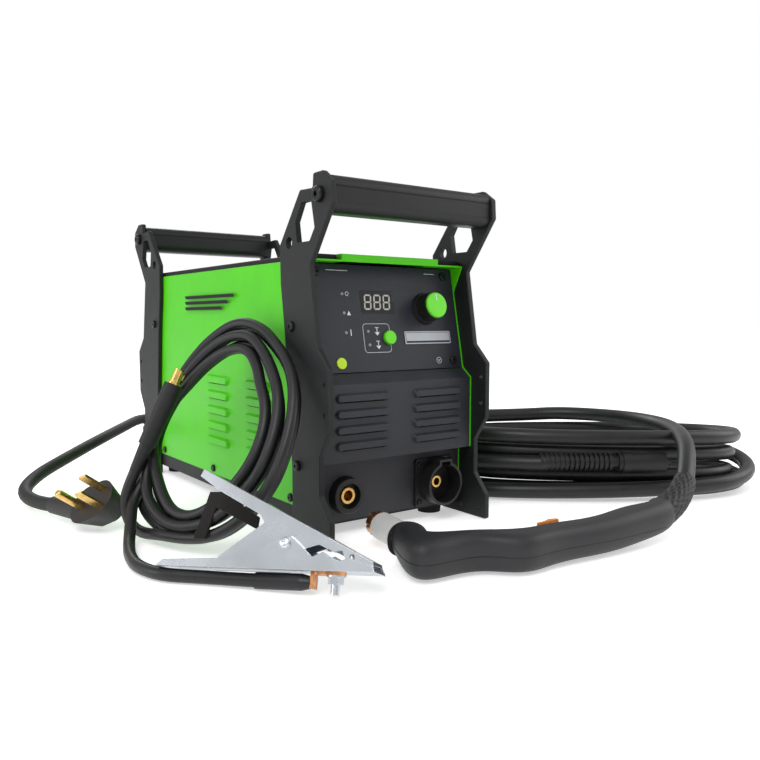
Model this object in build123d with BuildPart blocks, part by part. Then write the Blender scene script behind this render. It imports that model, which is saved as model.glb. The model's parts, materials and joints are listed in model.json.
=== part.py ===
"""Inverter plasma cutter with its power cord, ground lead with clamp, and hand torch with lead.

Frame: X to the right of the front panel, Y to the rear, Z up, millimetres.
The origin is under the middle of the case, on the surface the unit stands on.
"""
import os
from math import atan, cos, degrees, hypot, pi, radians, sin, tan

from build123d import *

os.makedirs("parts", exist_ok=True)

# ---------------------------------------------------------------- driving dimensions
WIDTH = 176.0            # over the frame plates
HEIGHT = 302.0           # feet to the top of the frame plates
DEPTH = 447.0            # front to rear of the frame plates
PLATE_T = 5.0            # frame plate thickness
SHEET = 1.5              # case sheet thickness
PANEL_T = 2.0            # front and rear panel thickness
FIT = 0.05               # radial clearance of a shaft in its hole
GAP = 0.3                # clearance between a moving piece and its neighbour

FRONT = -DEPTH / 2       # plane of the front bumpers
CASE_X = WIDTH / 2 - PLATE_T          # outer face of the case sides
PANEL_X = CASE_X - SHEET - 0.1        # half width of the panels between the sides
TRAY_Z = 10.0            # underside of the base tray
SIDE_Z = 24.0            # lower edge of the cover
TOP_Z = 236.0            # top of the cover sides
PLATEAU_Z = 241.0        # top of the raised middle of the cover
PLATEAU_X = 53.0         # half width of the raised middle
VISOR_Y = 34.0           # front edge of the cover's visor, from the front plane
CASE_REAR_Y = 411.0      # rear face of the case, from the front plane

LEAN = atan(0.2)         # the control panel leans back by this angle
PANEL_MID_Y = 42.0       # control panel middle, from the front plane
PANEL_MID_Z = 195.5
PANEL_LOW = -56.0        # lower and upper edge of the control panel along its slope
PANEL_HIGH = 38.5
LOUVER_Y = 20.0          # louvered panel
SOCKET_Y = 36.0          # socket panel
SOCKET_Z = 34.5
SOCKET_X = 49.5

BAR_Y = 11.5             # handle bar centre, from the front plane
BAR_Z = 284.0
BOLT_D = 8.0

KNOB_X = 44.0            # places on the control panel: across, and up the slope
BUTTON_XY = (-1.0, -26.4)
DISPLAY_XY = (-9.8, 5.6)
DISPLAY_SIZE = (36.5, 20.0)
STATUS_LIGHTS = [(-46.0, 12.7), (-46.0, -4.1), (-46.0, -21.4)]
MODE_LIGHTS = [(-22.8, -20.4), (-22.8, -32.5)]
POWER_LIGHT_XY = (-54.4, -48.0)
PANEL_SCREWS = [(-70, 31.5), (70, 31.5), (-71, -49), (71, -49)]

FAN_Z = 150.0
FAN_SIZE = 92.0
FAN_DEPTH = 25.0
SWITCH_XZ = (55.0, 62.0)
GLAND_XZ = (5.0, 45.0)
REGULATOR_XZ = (-50.0, 72.0)
REGULATOR_T = 24.0       # how far the pressure regulator stands out of the rear panel

POWER_CORD_D = 13.0
GROUND_CABLE_D = 9.5
TORCH_CABLE_D = 16.0


def at(x, y, z):
    """A point given with its depth measured back from the front plane."""
    return Vector(x, y + FRONT, z)


def save(part, name):
    """Label one finished piece and write it as its own file."""
    part.label = name
    part.color = None
    export_step(part, f"parts/{name}.step")
    return part


# ---------------------------------------------------------------- frame plates
PLATE_OUTLINE = [
    (22, 302), (8, 302), (-5, 293), (-6, 276), (28, 230), (17, 163), (0, 146), (0, 96),
    (15, 74), (15, 42), (-1, 23), (-1, 0), (62, 0), (60, 30), (60, 60), (71, 176),
    (77, 216), (78, 249), (43, 291.5), (23, 290.5),
]
PLATE_WINDOW = [(48, 249), (28, 249), (20, 259), (25, 281), (41, 281), (51, 266)]
STRAP_HOLE = (61.5, 250.0)
BUMPER_HOLES = [(7, 133.3), (7, 108.8)]
FOOT_HOLES = [(7, 7), (34, 7)]
PLATE_SCREWS = [(58, 180), (50, 62)]


def mirrored(points, end):
    """Plate outline points for the front (end = 1) or the rear (end = -1) of the unit."""
    return [(end * (y + FRONT), z) for y, z in points]


def frame_plate(side, end):
    inner = side * CASE_X if side > 0 else side * CASE_X - PLATE_T
    with BuildPart() as plate:
        with BuildSketch(Plane.YZ.offset(inner)) as outline:
            with BuildLine():
                Polyline(*mirrored(PLATE_OUTLINE, end), close=True)
            make_face()
            fillet(outline.vertices(), radius=2.0)
        extrude(amount=PLATE_T)
        chamfer(plate.edges().filter_by(Plane.YZ), length=0.7)
        with BuildSketch(Plane.YZ.offset(inner)) as window:
            with BuildLine():
                Polyline(*mirrored(PLATE_WINDOW, end), close=True)
            make_face()
            fillet(window.vertices(), radius=1.5)
        extrude(amount=PLATE_T, mode=Mode.SUBTRACT)
        with BuildSketch(Plane.YZ.offset(inner)):
            with Locations(*mirrored([STRAP_HOLE], end)):
                Circle(5.0)
            with Locations(*mirrored(BUMPER_HOLES + FOOT_HOLES, end)):
                Circle(2.25)
            with Locations(*mirrored(PLATE_SCREWS, end)):
                Circle(2.5)
            with Locations(*mirrored([(BAR_Y, BAR_Z)], end)):
                Circle(BOLT_D / 2)
        extrude(amount=PLATE_T, mode=Mode.SUBTRACT)
    return plate.part


for side, side_name in ((-1, "left"), (1, "right")):
    for end, end_name in ((1, "front"), (-1, "rear")):
        save(frame_plate(side, end), f"frame_plate_{end_name}_{side_name}")


# ---------------------------------------------------------------- handle bars
def handle_bar(end):
    centre_y = end * (BAR_Y + FRONT)
    with BuildPart() as bar:
        with BuildSketch(Plane.YZ.offset(-CASE_X)):
            with Locations((centre_y, BAR_Z)):
                RectangleRounded(28, 29.5, 8.5)
            with Locations((centre_y - 14.3, BAR_Z + 5.5), (centre_y + 14.3, BAR_Z + 5.5)):
                Rectangle(1.8, 1.2, mode=Mode.SUBTRACT)
        extrude(amount=2 * CASE_X)
        for side in (-1, 1):
            with BuildSketch(Plane.YZ.offset(side * CASE_X)):
                with Locations((centre_y, BAR_Z)):
                    Circle(BOLT_D / 2)
            extrude(amount=-side * 22, mode=Mode.SUBTRACT)
    return bar.part


save(handle_bar(1), "handle_bar_front")
save(handle_bar(-1), "handle_bar_rear")


# ---------------------------------------------------------------- bolts and screws
def socket_screw(plane, shank_d, length, head_d, head_h, key):
    """A socket button screw whose head sits on the plane and whose shank runs the other way."""
    with BuildPart() as screw:
        with BuildSketch(plane):
            Circle(head_d / 2)
        extrude(amount=head_h)
        fillet(screw.faces().sort_by(Axis(plane.origin, plane.z_dir))[-1].edges(), radius=head_h * 0.45)
        with BuildSketch(plane):
            Circle(shank_d / 2)
        extrude(amount=-length)
        with BuildSketch(plane.offset(head_h)):
            RegularPolygon(key / 2, 6)
        extrude(amount=-head_h * 0.6, mode=Mode.SUBTRACT)
    return screw.part


def side_plane(side, y, z):
    return Plane(origin=(side * WIDTH / 2, y, z), x_dir=(0, 1, 0), z_dir=(side, 0, 0))


frame_bolts = []
for side in (-1, 1):
    for end in (1, -1):
        for y, z in mirrored([(BAR_Y, BAR_Z)], end):
            frame_bolts.append(socket_screw(side_plane(side, y, z), BOLT_D, 20 + PLATE_T, 13, 4.5, 5))
        for y, z in mirrored(PLATE_SCREWS, end):
            frame_bolts.append(socket_screw(side_plane(side, y, z), 5, PLATE_T, 9, 2.8, 3))
save(Compound(children=frame_bolts), "frame_bolts")


# ---------------------------------------------------------------- base tray and feet
tray_length = CASE_REAR_Y - SOCKET_Y
tray_mid = (CASE_REAR_Y + SOCKET_Y) / 2 + FRONT
with BuildPart() as base_tray:
    with BuildSketch(Plane.XY.offset(TRAY_Z)):
        with Locations((0, tray_mid)):
            Rectangle(2 * CASE_X, tray_length)
    extrude(amount=PANEL_T)
    for side in (-1, 1):
        with BuildSketch(Plane.XY.offset(TRAY_Z)):
            with Locations((side * (CASE_X - SHEET / 2), tray_mid)):
                Rectangle(SHEET, tray_length)
        extrude(amount=SIDE_Z - TRAY_Z)
        with BuildSketch(Plane.XY.offset(TRAY_Z)):
            with Locations((side * (CASE_X - 1.5 * SHEET), tray_mid)):
                Rectangle(SHEET, tray_length - 10)
        extrude(amount=SIDE_Z - TRAY_Z + 12)
save(base_tray.part, "base_tray")

FOOT_SPOTS = [(x, y + FRONT) for x in (-62, 62) for y in (56, DEPTH - 56)]
with BuildPart() as rubber_feet:
    with BuildSketch(Plane.XY.offset(TRAY_Z)):
        with Locations(*FOOT_SPOTS):
            Circle(12)
    extrude(amount=-TRAY_Z, taper=6)
save(rubber_feet.part, "rubber_feet")


# ---------------------------------------------------------------- cover
LOUVER_RISE = 3.0        # how far the louver hoods stand out of the sheet
SIDE_LOUVER = (52.0, 9.5)
FRONT_LOUVER = (56.0, 8.4)


COVER_FRONT = [
    (-50, 0), (SOCKET_Y, 0), (SOCKET_Y, 64), (LOUVER_Y, 66), (LOUVER_Y, 132), (31.1, 141),
    (45.3, 212), (VISOR_Y, TOP_Z - 1.5), (VISOR_Y, 300), (-50, 300),
]
SIDE_LOUVER_Y = [131.0, 221.0]
SIDE_LOUVER_Z = [124.0, 108.0, 92.0, 76.0, 60.0]
COVER_SCREWS = [(71.0, 30.0), (235.0, 30.0), (376.0, 30.0)]

with BuildPart() as cover_shell:
    with BuildSketch(Plane.XZ.offset(-LOUVER_Y - FRONT)):
        with BuildLine():
            Polyline(
                (-CASE_X, SIDE_Z), (-CASE_X, TOP_Z), (-PLATEAU_X, TOP_Z), (-PLATEAU_X, PLATEAU_Z),
                (PLATEAU_X, PLATEAU_Z), (PLATEAU_X, TOP_Z), (CASE_X, TOP_Z), (CASE_X, SIDE_Z),
                (CASE_X - SHEET, SIDE_Z), (CASE_X - SHEET, TOP_Z - SHEET),
                (PLATEAU_X - SHEET, TOP_Z - SHEET), (PLATEAU_X - SHEET, PLATEAU_Z - SHEET),
                (SHEET - PLATEAU_X, PLATEAU_Z - SHEET), (SHEET - PLATEAU_X, TOP_Z - SHEET),
                (SHEET - CASE_X, TOP_Z - SHEET), (SHEET - CASE_X, SIDE_Z), close=True)
        make_face()
    extrude(amount=-(CASE_REAR_Y - LOUVER_Y))
    fillet(cover_shell.edges().filter_by(Axis.Y).group_by(Axis.X)[0].sort_by(Axis.Z)[-1:], radius=1.2)
    fillet(cover_shell.edges().filter_by(Axis.Y).group_by(Axis.X)[-1].sort_by(Axis.Z)[-1:], radius=1.2)
    with BuildSketch(Plane.YZ.offset(-100)):
        with BuildLine():
            Polyline(*[(y + FRONT, z) for y, z in COVER_FRONT], close=True)
        make_face()
    extrude(amount=200, mode=Mode.SUBTRACT)
    with BuildSketch(Plane.XZ.offset(-VISOR_Y - FRONT)):
        with Locations((0, TOP_Z - SHEET)):
            Rectangle(2 * PLATEAU_X, PLATEAU_Z - TOP_Z + SHEET, align=(Align.CENTER, Align.MIN))
    extrude(amount=-SHEET)
    for side in (-1, 1):
        face = Plane(origin=(side * CASE_X, 0, 0), x_dir=(0, side, 0), z_dir=(side, 0, 0))
        spots = [(side * (y + FRONT), z) for y in SIDE_LOUVER_Y for z in SIDE_LOUVER_Z]
        with BuildSketch(face):
            with Locations(*spots):
                SlotOverall(*SIDE_LOUVER)
        extrude(amount=LOUVER_RISE, taper=28)
        with BuildSketch(face.offset(LOUVER_RISE - 0.9)):
            with Locations(*[(u, v - 0.36 * SIDE_LOUVER[1]) for u, v in spots]):
                Rectangle(SIDE_LOUVER[0] - 13, 0.24 * SIDE_LOUVER[1])
        extrude(amount=-LOUVER_RISE - SHEET - 2, mode=Mode.SUBTRACT)
        with BuildSketch(face):
            with Locations(*[(side * (y + FRONT), z) for y, z in COVER_SCREWS]):
                Circle(2.0)
        extrude(amount=-SHEET, mode=Mode.SUBTRACT)
save(cover_shell.part, "cover_shell")

rail_width = CASE_X - PLATEAU_X - 4
with BuildPart() as top_rails:
    with BuildSketch(Plane.XY.offset(TOP_Z)):
        with Locations(*[(s * (PLATEAU_X + 2.5 + rail_width / 2), (CASE_REAR_Y + VISOR_Y) / 2 + FRONT)
                         for s in (-1, 1)]):
            Rectangle(rail_width, CASE_REAR_Y - VISOR_Y - 8)
    extrude(amount=4.5)
    chamfer(top_rails.faces().filter_by(Axis.Z).group_by(Axis.Z)[-1].edges(), length=1.0)
save(top_rails.part, "top_rails")


# ---------------------------------------------------------------- control panel and its fittings
panel_plane = Plane(
    origin=at(0, PANEL_MID_Y, PANEL_MID_Z), x_dir=(1, 0, 0), z_dir=(0, -cos(LEAN), sin(LEAN)))


def on_panel(x, v, out=0.0):
    """A plane on the control panel, facing the operator."""
    return Plane(origin=panel_plane.from_local_coords((x, v, out)), x_dir=panel_plane.x_dir,
                 z_dir=panel_plane.z_dir)


panel_height = PANEL_HIGH - PANEL_LOW
with BuildPart() as control_panel:
    with BuildSketch(panel_plane) as panel_outline:
        with Locations((0, (PANEL_HIGH + PANEL_LOW) / 2)):
            Rectangle(2 * PANEL_X, panel_height)
        with Locations(DISPLAY_XY):
            RectangleRounded(*DISPLAY_SIZE, 1.5, mode=Mode.SUBTRACT)
        with Locations((KNOB_X, 0)):
            Circle(3.0 + FIT, mode=Mode.SUBTRACT)
        with Locations(BUTTON_XY):
            Circle(6.4, mode=Mode.SUBTRACT)
        with Locations(*STATUS_LIGHTS, *MODE_LIGHTS):
            Circle(1.5, mode=Mode.SUBTRACT)
        with Locations(POWER_LIGHT_XY):
            Circle(5.0, mode=Mode.SUBTRACT)
        with Locations(*PANEL_SCREWS):
            Circle(2.0, mode=Mode.SUBTRACT)
    extrude(amount=-PANEL_T)
save(control_panel.part, "control_panel")

with BuildPart() as display_window:
    with BuildSketch(on_panel(*DISPLAY_XY)):
        RectangleRounded(DISPLAY_SIZE[0] - 0.1, DISPLAY_SIZE[1] - 0.1, 1.4)
    extrude(amount=-PANEL_T - 8)
    fillet(display_window.edges().group_by(Axis(panel_plane.origin, panel_plane.z_dir))[-1], radius=0.5)
save(display_window.part, "display_window")

with BuildPart() as indicator_lights:
    for spot in STATUS_LIGHTS + MODE_LIGHTS:
        with BuildSketch(on_panel(*spot, out=-PANEL_T - 3)):
            Circle(1.45)
        extrude(amount=PANEL_T + 3)
        with Locations(on_panel(*spot)):
            Sphere(1.45, arc_size1=0)
    with BuildSketch(on_panel(*POWER_LIGHT_XY, out=-PANEL_T - 4)):
        Circle(4.95)
    extrude(amount=PANEL_T + 5)
    fillet(indicator_lights.edges().group_by(Axis(panel_plane.origin, panel_plane.z_dir))[-1], radius=0.6)
save(indicator_lights.part, "indicator_lights")

with BuildPart() as mode_button:
    with BuildSketch(on_panel(*BUTTON_XY, out=-PANEL_T - 3.5)):
        Circle(6.25)
    extrude(amount=PANEL_T + 3.5 + 3.2)
    fillet(mode_button.edges().group_by(Axis(panel_plane.origin, panel_plane.z_dir))[-1], radius=1.0)
    with BuildSketch(on_panel(*BUTTON_XY, out=-PANEL_T - 3.5)):
        Circle(7.6)
    extrude(amount=1.5)
save(mode_button.part, "mode_button")

KNOB_H = 17.0
with BuildPart() as current_knob:
    with BuildSketch(on_panel(KNOB_X, 0, out=GAP)):
        Circle(15)
    extrude(amount=3.5, taper=18)
    with BuildSketch(on_panel(KNOB_X, 0, out=GAP + 3.5)):
        Circle(13.2)
        with PolarLocations(13.4, 30):
            Circle(0.75, mode=Mode.SUBTRACT)
    extrude(amount=KNOB_H - 4.5, taper=2)
    with BuildSketch(on_panel(KNOB_X, 0, out=GAP)):
        Circle(3.0)
    extrude(amount=-PANEL_T - 10)
save(current_knob.part, "current_knob")

cap_base = GAP + KNOB_H - 1.0
with BuildPart() as knob_cap:
    with BuildSketch(on_panel(KNOB_X, 0, out=cap_base)):
        Circle(11.6)
    extrude(amount=2.2)
    fillet(knob_cap.edges().group_by(Axis(panel_plane.origin, panel_plane.z_dir))[-1], radius=1.2)
save(knob_cap.part, "knob_cap")


# ---------------------------------------------------------------- front panel: louvers above, sockets below
FRONT_SECTION = [
    (30.2, 139.9), (LOUVER_Y, 131.5), (LOUVER_Y, 66), (SOCKET_Y, 63.6), (SOCKET_Y, TRAY_Z + PANEL_T),
    (SOCKET_Y + PANEL_T, TRAY_Z + PANEL_T), (SOCKET_Y + PANEL_T, 65.5), (LOUVER_Y + PANEL_T, 67.6),
    (LOUVER_Y + PANEL_T, 130.6), (31.5, 138.4),
]
LOUVER_SPOTS = [(x, 120.2 - 13.5 * row) for x in (-41.0, 41.0) for row in range(4)]
FLANGE_SCREWS = [(SOCKET_X + dx, SOCKET_Z + dz) for dx in (-18, 18) for dz in (-18, 18)]
louver_face = Plane(origin=at(0, LOUVER_Y, 0), x_dir=(1, 0, 0), z_dir=(0, -1, 0))
socket_face = Plane(origin=at(0, SOCKET_Y, 0), x_dir=(1, 0, 0), z_dir=(0, -1, 0))

with BuildPart() as front_panel:
    with BuildSketch(Plane.YZ.offset(-PANEL_X)):
        with BuildLine():
            Polyline(*[(y + FRONT, z) for y, z in FRONT_SECTION], close=True)
        make_face()
    extrude(amount=2 * PANEL_X)
    with BuildSketch(louver_face):
        with Locations(*LOUVER_SPOTS):
            SlotOverall(*FRONT_LOUVER)
    extrude(amount=LOUVER_RISE, taper=28)
    with BuildSketch(louver_face.offset(LOUVER_RISE - 0.9)):
        with Locations(*[(u, v - 0.36 * FRONT_LOUVER[1]) for u, v in LOUVER_SPOTS]):
            Rectangle(FRONT_LOUVER[0] - 12, 0.24 * FRONT_LOUVER[1])
    extrude(amount=-LOUVER_RISE - PANEL_T - 2, mode=Mode.SUBTRACT)
    with BuildSketch(socket_face):
        with Locations((-SOCKET_X, SOCKET_Z)):
            Circle(11.0)
        with Locations((SOCKET_X, SOCKET_Z)):
            Circle(13.0)
        with Locations(*FLANGE_SCREWS):
            Circle(1.5)
    extrude(amount=-PANEL_T, mode=Mode.SUBTRACT)
save(front_panel.part, "front_panel")

panel_screws = []
for spot in PANEL_SCREWS:
    panel_screws.append(socket_screw(on_panel(*spot), 4, PANEL_T, 7.5, 2.2, 2.5))
for side in (-1, 1):
    for y, z in COVER_SCREWS:
        case_face = Plane(origin=(side * CASE_X, y + FRONT, z), x_dir=(0, 1, 0), z_dir=(side, 0, 0))
        panel_screws.append(socket_screw(case_face, 4, SHEET, 7.5, 2.2, 2.5))
FLANGE_T = 3.0
for x, z in FLANGE_SCREWS:
    flange_face = Plane(origin=at(x, SOCKET_Y - FLANGE_T, z), x_dir=(1, 0, 0), z_dir=(0, -1, 0))
    panel_screws.append(socket_screw(flange_face, 3, FLANGE_T + PANEL_T, 5.6, 1.8, 2.0))
save(Compound(children=panel_screws), "panel_screws")

# ---------------------------------------------------------------- work socket
WORK_BORE = 9.2
with BuildPart() as work_socket_body:
    with BuildSketch(socket_face):
        with Locations((-SOCKET_X, SOCKET_Z)):
            Circle(16.5)
    extrude(amount=8.5, taper=9)
    fillet(work_socket_body.faces().sort_by(Axis.Y)[0].edges(), radius=1.0)
    with BuildSketch(socket_face.offset(9)):
        with Locations((-SOCKET_X, SOCKET_Z)):
            Circle(11.0)
    extrude(amount=-7.0, mode=Mode.SUBTRACT)
    with BuildSketch(socket_face):
        with Locations((-SOCKET_X, SOCKET_Z)):
            Circle(11.0)
    extrude(amount=-14)
    with BuildSketch(socket_face.offset(9)):
        with Locations((-SOCKET_X, SOCKET_Z)):
            Circle(7.0)
    extrude(amount=-40, mode=Mode.SUBTRACT)
save(work_socket_body.part, "work_socket_body")

with BuildPart() as work_socket_contact:
    with BuildSketch(socket_face.offset(5.5)):
        with Locations((-SOCKET_X, SOCKET_Z)):
            Circle(7.0)
    extrude(amount=-31.5)
    with BuildSketch(socket_face.offset(5.5)):
        with Locations((-SOCKET_X, SOCKET_Z)):
            Circle(WORK_BORE / 2)
    extrude(amount=-24, mode=Mode.SUBTRACT)
save(work_socket_contact.part, "work_socket_contact")

# ---------------------------------------------------------------- torch socket
SHROUD_R = 20.0
SHROUD_WALL = 2.4
SHROUD_LENGTH = 19.5
with BuildPart() as torch_socket_housing:
    with BuildSketch(socket_face):
        with Locations((SOCKET_X, SOCKET_Z)):
            RectangleRounded(45, 45, 2.5)
        with Locations(*FLANGE_SCREWS):
            Circle(1.5, mode=Mode.SUBTRACT)
    extrude(amount=FLANGE_T)
    with BuildSketch(socket_face):
        with Locations((SOCKET_X, SOCKET_Z)):
            Circle(SHROUD_R)
        with Locations((SOCKET_X, SOCKET_Z + SHROUD_R - 1)):
            Rectangle(15, 7.5)
    extrude(amount=SHROUD_LENGTH)
    with BuildSketch(socket_face.offset(SHROUD_LENGTH)):
        with Locations((SOCKET_X, SOCKET_Z)):
            Circle(SHROUD_R - SHROUD_WALL)
        with Locations((SOCKET_X, SOCKET_Z + SHROUD_R - 2)):
            Rectangle(10.5, 5.4)
    extrude(amount=-SHROUD_LENGTH + 1.5, mode=Mode.SUBTRACT)
    with BuildSketch(socket_face):
        with Locations((SOCKET_X, SOCKET_Z)):
            Circle(13.0)
    extrude(amount=-12)
    with BuildSketch(socket_face.offset(SHROUD_LENGTH)):
        with Locations((SOCKET_X, SOCKET_Z)):
            Circle(5.5)
    extrude(amount=-50, mode=Mode.SUBTRACT)
save(torch_socket_housing.part, "torch_socket_housing")

GAS_BORE = 7.0
with BuildPart() as torch_socket_contact:
    with BuildSketch(socket_face.offset(6)):
        with Locations((SOCKET_X, SOCKET_Z)):
            Circle(5.5)
    extrude(amount=-32)
    with BuildSketch(socket_face.offset(6)):
        with Locations((SOCKET_X, SOCKET_Z)):
            Circle(GAS_BORE / 2)
    extrude(amount=-22, mode=Mode.SUBTRACT)
save(torch_socket_contact.part, "torch_socket_contact")

# ---------------------------------------------------------------- rear panel, fan, switch, gland, air inlet
rear_face = Plane(origin=at(0, CASE_REAR_Y, 0), x_dir=(-1, 0, 0), z_dir=(0, 1, 0))
with BuildPart() as rear_panel:
    with BuildSketch(rear_face):
        with Locations((0, (TOP_Z + TRAY_Z) / 2 + 0.1)):
            Rectangle(2 * PANEL_X, TOP_Z - TRAY_Z - 2 * PANEL_T)
    extrude(amount=-PANEL_T)
    with BuildSketch(rear_face):
        for ring in range(4):
            with Locations((0, FAN_Z)):
                Circle(42 - 7.5 * ring)
                Circle(37 - 7.5 * ring, mode=Mode.SUBTRACT)
        with Locations((0, FAN_Z)):
            with PolarLocations(0, 4, start_angle=45):
                Rectangle(90, 4.5, mode=Mode.SUBTRACT)
    extrude(amount=-PANEL_T, mode=Mode.SUBTRACT)
    with BuildSketch(rear_face):
        with Locations((-SWITCH_XZ[0], SWITCH_XZ[1])):
            Circle(3.0 + FIT)
        with Locations((-GLAND_XZ[0], GLAND_XZ[1])):
            Circle(8.0)
        with Locations((-REGULATOR_XZ[0], REGULATOR_XZ[1])):
            Circle(7.0)
    extrude(amount=-PANEL_T, mode=Mode.SUBTRACT)
save(rear_panel.part, "rear_panel")

fan_back = Plane(origin=at(0, CASE_REAR_Y - PANEL_T, FAN_Z), x_dir=(-1, 0, 0), z_dir=(0, 1, 0))
with BuildPart() as fan_frame:
    with BuildSketch(fan_back):
        RectangleRounded(FAN_SIZE, FAN_SIZE, 4)
        Circle(FAN_SIZE / 2 - 2.5, mode=Mode.SUBTRACT)
    extrude(amount=-FAN_DEPTH)
    with BuildSketch(fan_back.offset(-FAN_DEPTH)):
        Circle(18)
        with PolarLocations(0, 2, start_angle=45):
            Rectangle(FAN_SIZE - 3, 5)
    extrude(amount=3)
    with BuildSketch(fan_back.offset(-FAN_DEPTH)):
        Circle(2.0 + FIT)
    extrude(amount=3, mode=Mode.SUBTRACT)
save(fan_frame.part, "fan_frame")

rotor_plane = fan_back.offset(-FAN_DEPTH + 3 + 0.8)
ROTOR_H = FAN_DEPTH - 7
with BuildPart() as fan_rotor:
    with BuildSketch(rotor_plane):
        Circle(17.5)
    extrude(amount=ROTOR_H)
    with BuildSketch(rotor_plane):
        Circle(2.0)
    extrude(amount=-3.6)
    for blade in range(7):
        turn = 2 * pi / 7 * blade
        outward = Vector(cos(turn), 0, sin(turn))
        blade_origin = rotor_plane.origin + Vector(0, ROTOR_H / 2, 0) + outward * 15
        with BuildSketch(Plane(origin=blade_origin, x_dir=(0, 1, 0), z_dir=outward)):
            Rectangle(ROTOR_H - 3, 1.8, rotation=38)
        extrude(amount=27)
save(fan_rotor.part, "fan_rotor")

with BuildPart() as power_switch_knob:
    switch_plane = Plane(origin=at(SWITCH_XZ[0], CASE_REAR_Y + GAP, SWITCH_XZ[1]), x_dir=(-1, 0, 0),
                         z_dir=(0, 1, 0))
    with BuildSketch(switch_plane):
        Circle(16)
    extrude(amount=4, taper=8)
    with BuildSketch(switch_plane.offset(4)):
        SlotOverall(30, 9, rotation=90)
    extrude(amount=10, taper=5)
    with BuildSketch(switch_plane):
        Circle(3.0)
    extrude(amount=-GAP - PANEL_T - 8)
save(power_switch_knob.part, "power_switch_knob")

with BuildPart() as cord_gland:
    gland_plane = Plane(origin=at(GLAND_XZ[0], CASE_REAR_Y, GLAND_XZ[1]), x_dir=(-1, 0, 0), z_dir=(0, 1, 0))
    with BuildSketch(gland_plane):
        RegularPolygon(13.5, 6)
    extrude(amount=6)
    with BuildSketch(gland_plane.offset(6)):
        Circle(12)
    extrude(amount=16, taper=12)
    with BuildSketch(gland_plane):
        Circle(8.0)
    extrude(amount=-PANEL_T - 8)
save(cord_gland.part, "cord_gland")
GLAND_END_Y = CASE_REAR_Y + 22

with BuildPart() as air_regulator:
    regulator_plane = Plane(origin=at(REGULATOR_XZ[0], CASE_REAR_Y, REGULATOR_XZ[1]), x_dir=(-1, 0, 0),
                            z_dir=(0, 1, 0))
    with BuildSketch(regulator_plane):
        RectangleRounded(34, 34, 5)
    extrude(amount=REGULATOR_T)
    with BuildSketch(regulator_plane):
        Circle(7.0)
    extrude(amount=-PANEL_T - 6)
    with BuildSketch(regulator_plane.offset(REGULATOR_T)):
        RegularPolygon(9, 6)
    extrude(amount=4)
    with BuildSketch(regulator_plane.offset(REGULATOR_T + 4)):
        Circle(6.0)
    extrude(amount=13)
    with BuildSketch(Plane(origin=at(REGULATOR_XZ[0], CASE_REAR_Y + REGULATOR_T / 2, REGULATOR_XZ[1] + 17))):
        Circle(3.0 + FIT)
    extrude(amount=-12, mode=Mode.SUBTRACT)
save(air_regulator.part, "air_regulator")

with BuildPart() as regulator_knob:
    knob_plane = Plane(origin=at(REGULATOR_XZ[0], CASE_REAR_Y + REGULATOR_T / 2, REGULATOR_XZ[1] + 17 + GAP))
    with BuildSketch(knob_plane):
        Circle(11.5)
        with PolarLocations(11.8, 20):
            Circle(0.9, mode=Mode.SUBTRACT)
    extrude(amount=16)
    with BuildSketch(knob_plane):
        Circle(3.0)
    extrude(amount=-10)
save(regulator_knob.part, "regulator_knob")

# ---------------------------------------------------------------- inside the case
SINK_Y = 200.0
with BuildPart() as heat_sink:
    with BuildSketch(Plane.XZ.offset(-SINK_Y - FRONT + 75)):
        with Locations((0, 58)):
            Rectangle(110, 8)
        for fin in range(12):
            with Locations((-52.0 + 9.45 * fin, 39)):
                Rectangle(2.4, 31)
    extrude(amount=-150)
save(heat_sink.part, "heat_sink")

with BuildPart() as inverter_board:
    with BuildSketch(Plane.XY.offset(70)):
        with Locations((0, SINK_Y + FRONT)):
            Rectangle(130, 190)
    extrude(amount=2)
    for x, y, radius, tall in ((-35, 150, 15, 45), (0, 150, 15, 45), (35, 150, 15, 45), (-40, 245, 10, 30)):
        with BuildSketch(Plane.XY.offset(72)):
            with Locations((x, y + FRONT)):
                Circle(radius)
        extrude(amount=tall)
    for x, y, wide, deep in ((-30, 200, 18, 22), (0, 200, 18, 22), (30, 200, 18, 22), (25, 250, 44, 36)):
        with BuildSketch(Plane.XY.offset(62)):
            with Locations((x, y + FRONT)):
                Rectangle(wide, min(deep, 22))
        extrude(amount=8)
        with BuildSketch(Plane.XY.offset(72)):
            with Locations((x, y + FRONT)):
                Rectangle(wide, deep)
        extrude(amount=14)
save(inverter_board.part, "inverter_board")

with BuildPart() as transformer:
    with BuildSketch(Plane.XY.offset(TRAY_Z + PANEL_T)):
        with Locations((10, 330 + FRONT)):
            Rectangle(62, 46)
    extrude(amount=18)
    with BuildSketch(Plane.XY.offset(TRAY_Z + PANEL_T + 18)):
        with Locations((10, 330 + FRONT)):
            Circle(19)
    extrude(amount=26)
    with BuildSketch(Plane.XY.offset(TRAY_Z + PANEL_T + 44)):
        with Locations((10, 330 + FRONT)):
            Rectangle(62, 46)
    extrude(amount=14)
save(transformer.part, "transformer")

VALVE_X = -50.0
VALVE_Y = 365.0
HOSE_Z = 24.0
with BuildPart() as solenoid_valve:
    with BuildSketch(Plane.XY.offset(TRAY_Z + PANEL_T)):
        with Locations((VALVE_X, VALVE_Y + FRONT)):
            Rectangle(26, 24)
    extrude(amount=24)
    with BuildSketch(Plane.XY.offset(TRAY_Z + PANEL_T + 24)):
        with Locations((VALVE_X, VALVE_Y + FRONT)):
            Circle(11)
    extrude(amount=26)
save(solenoid_valve.part, "solenoid_valve")

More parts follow.
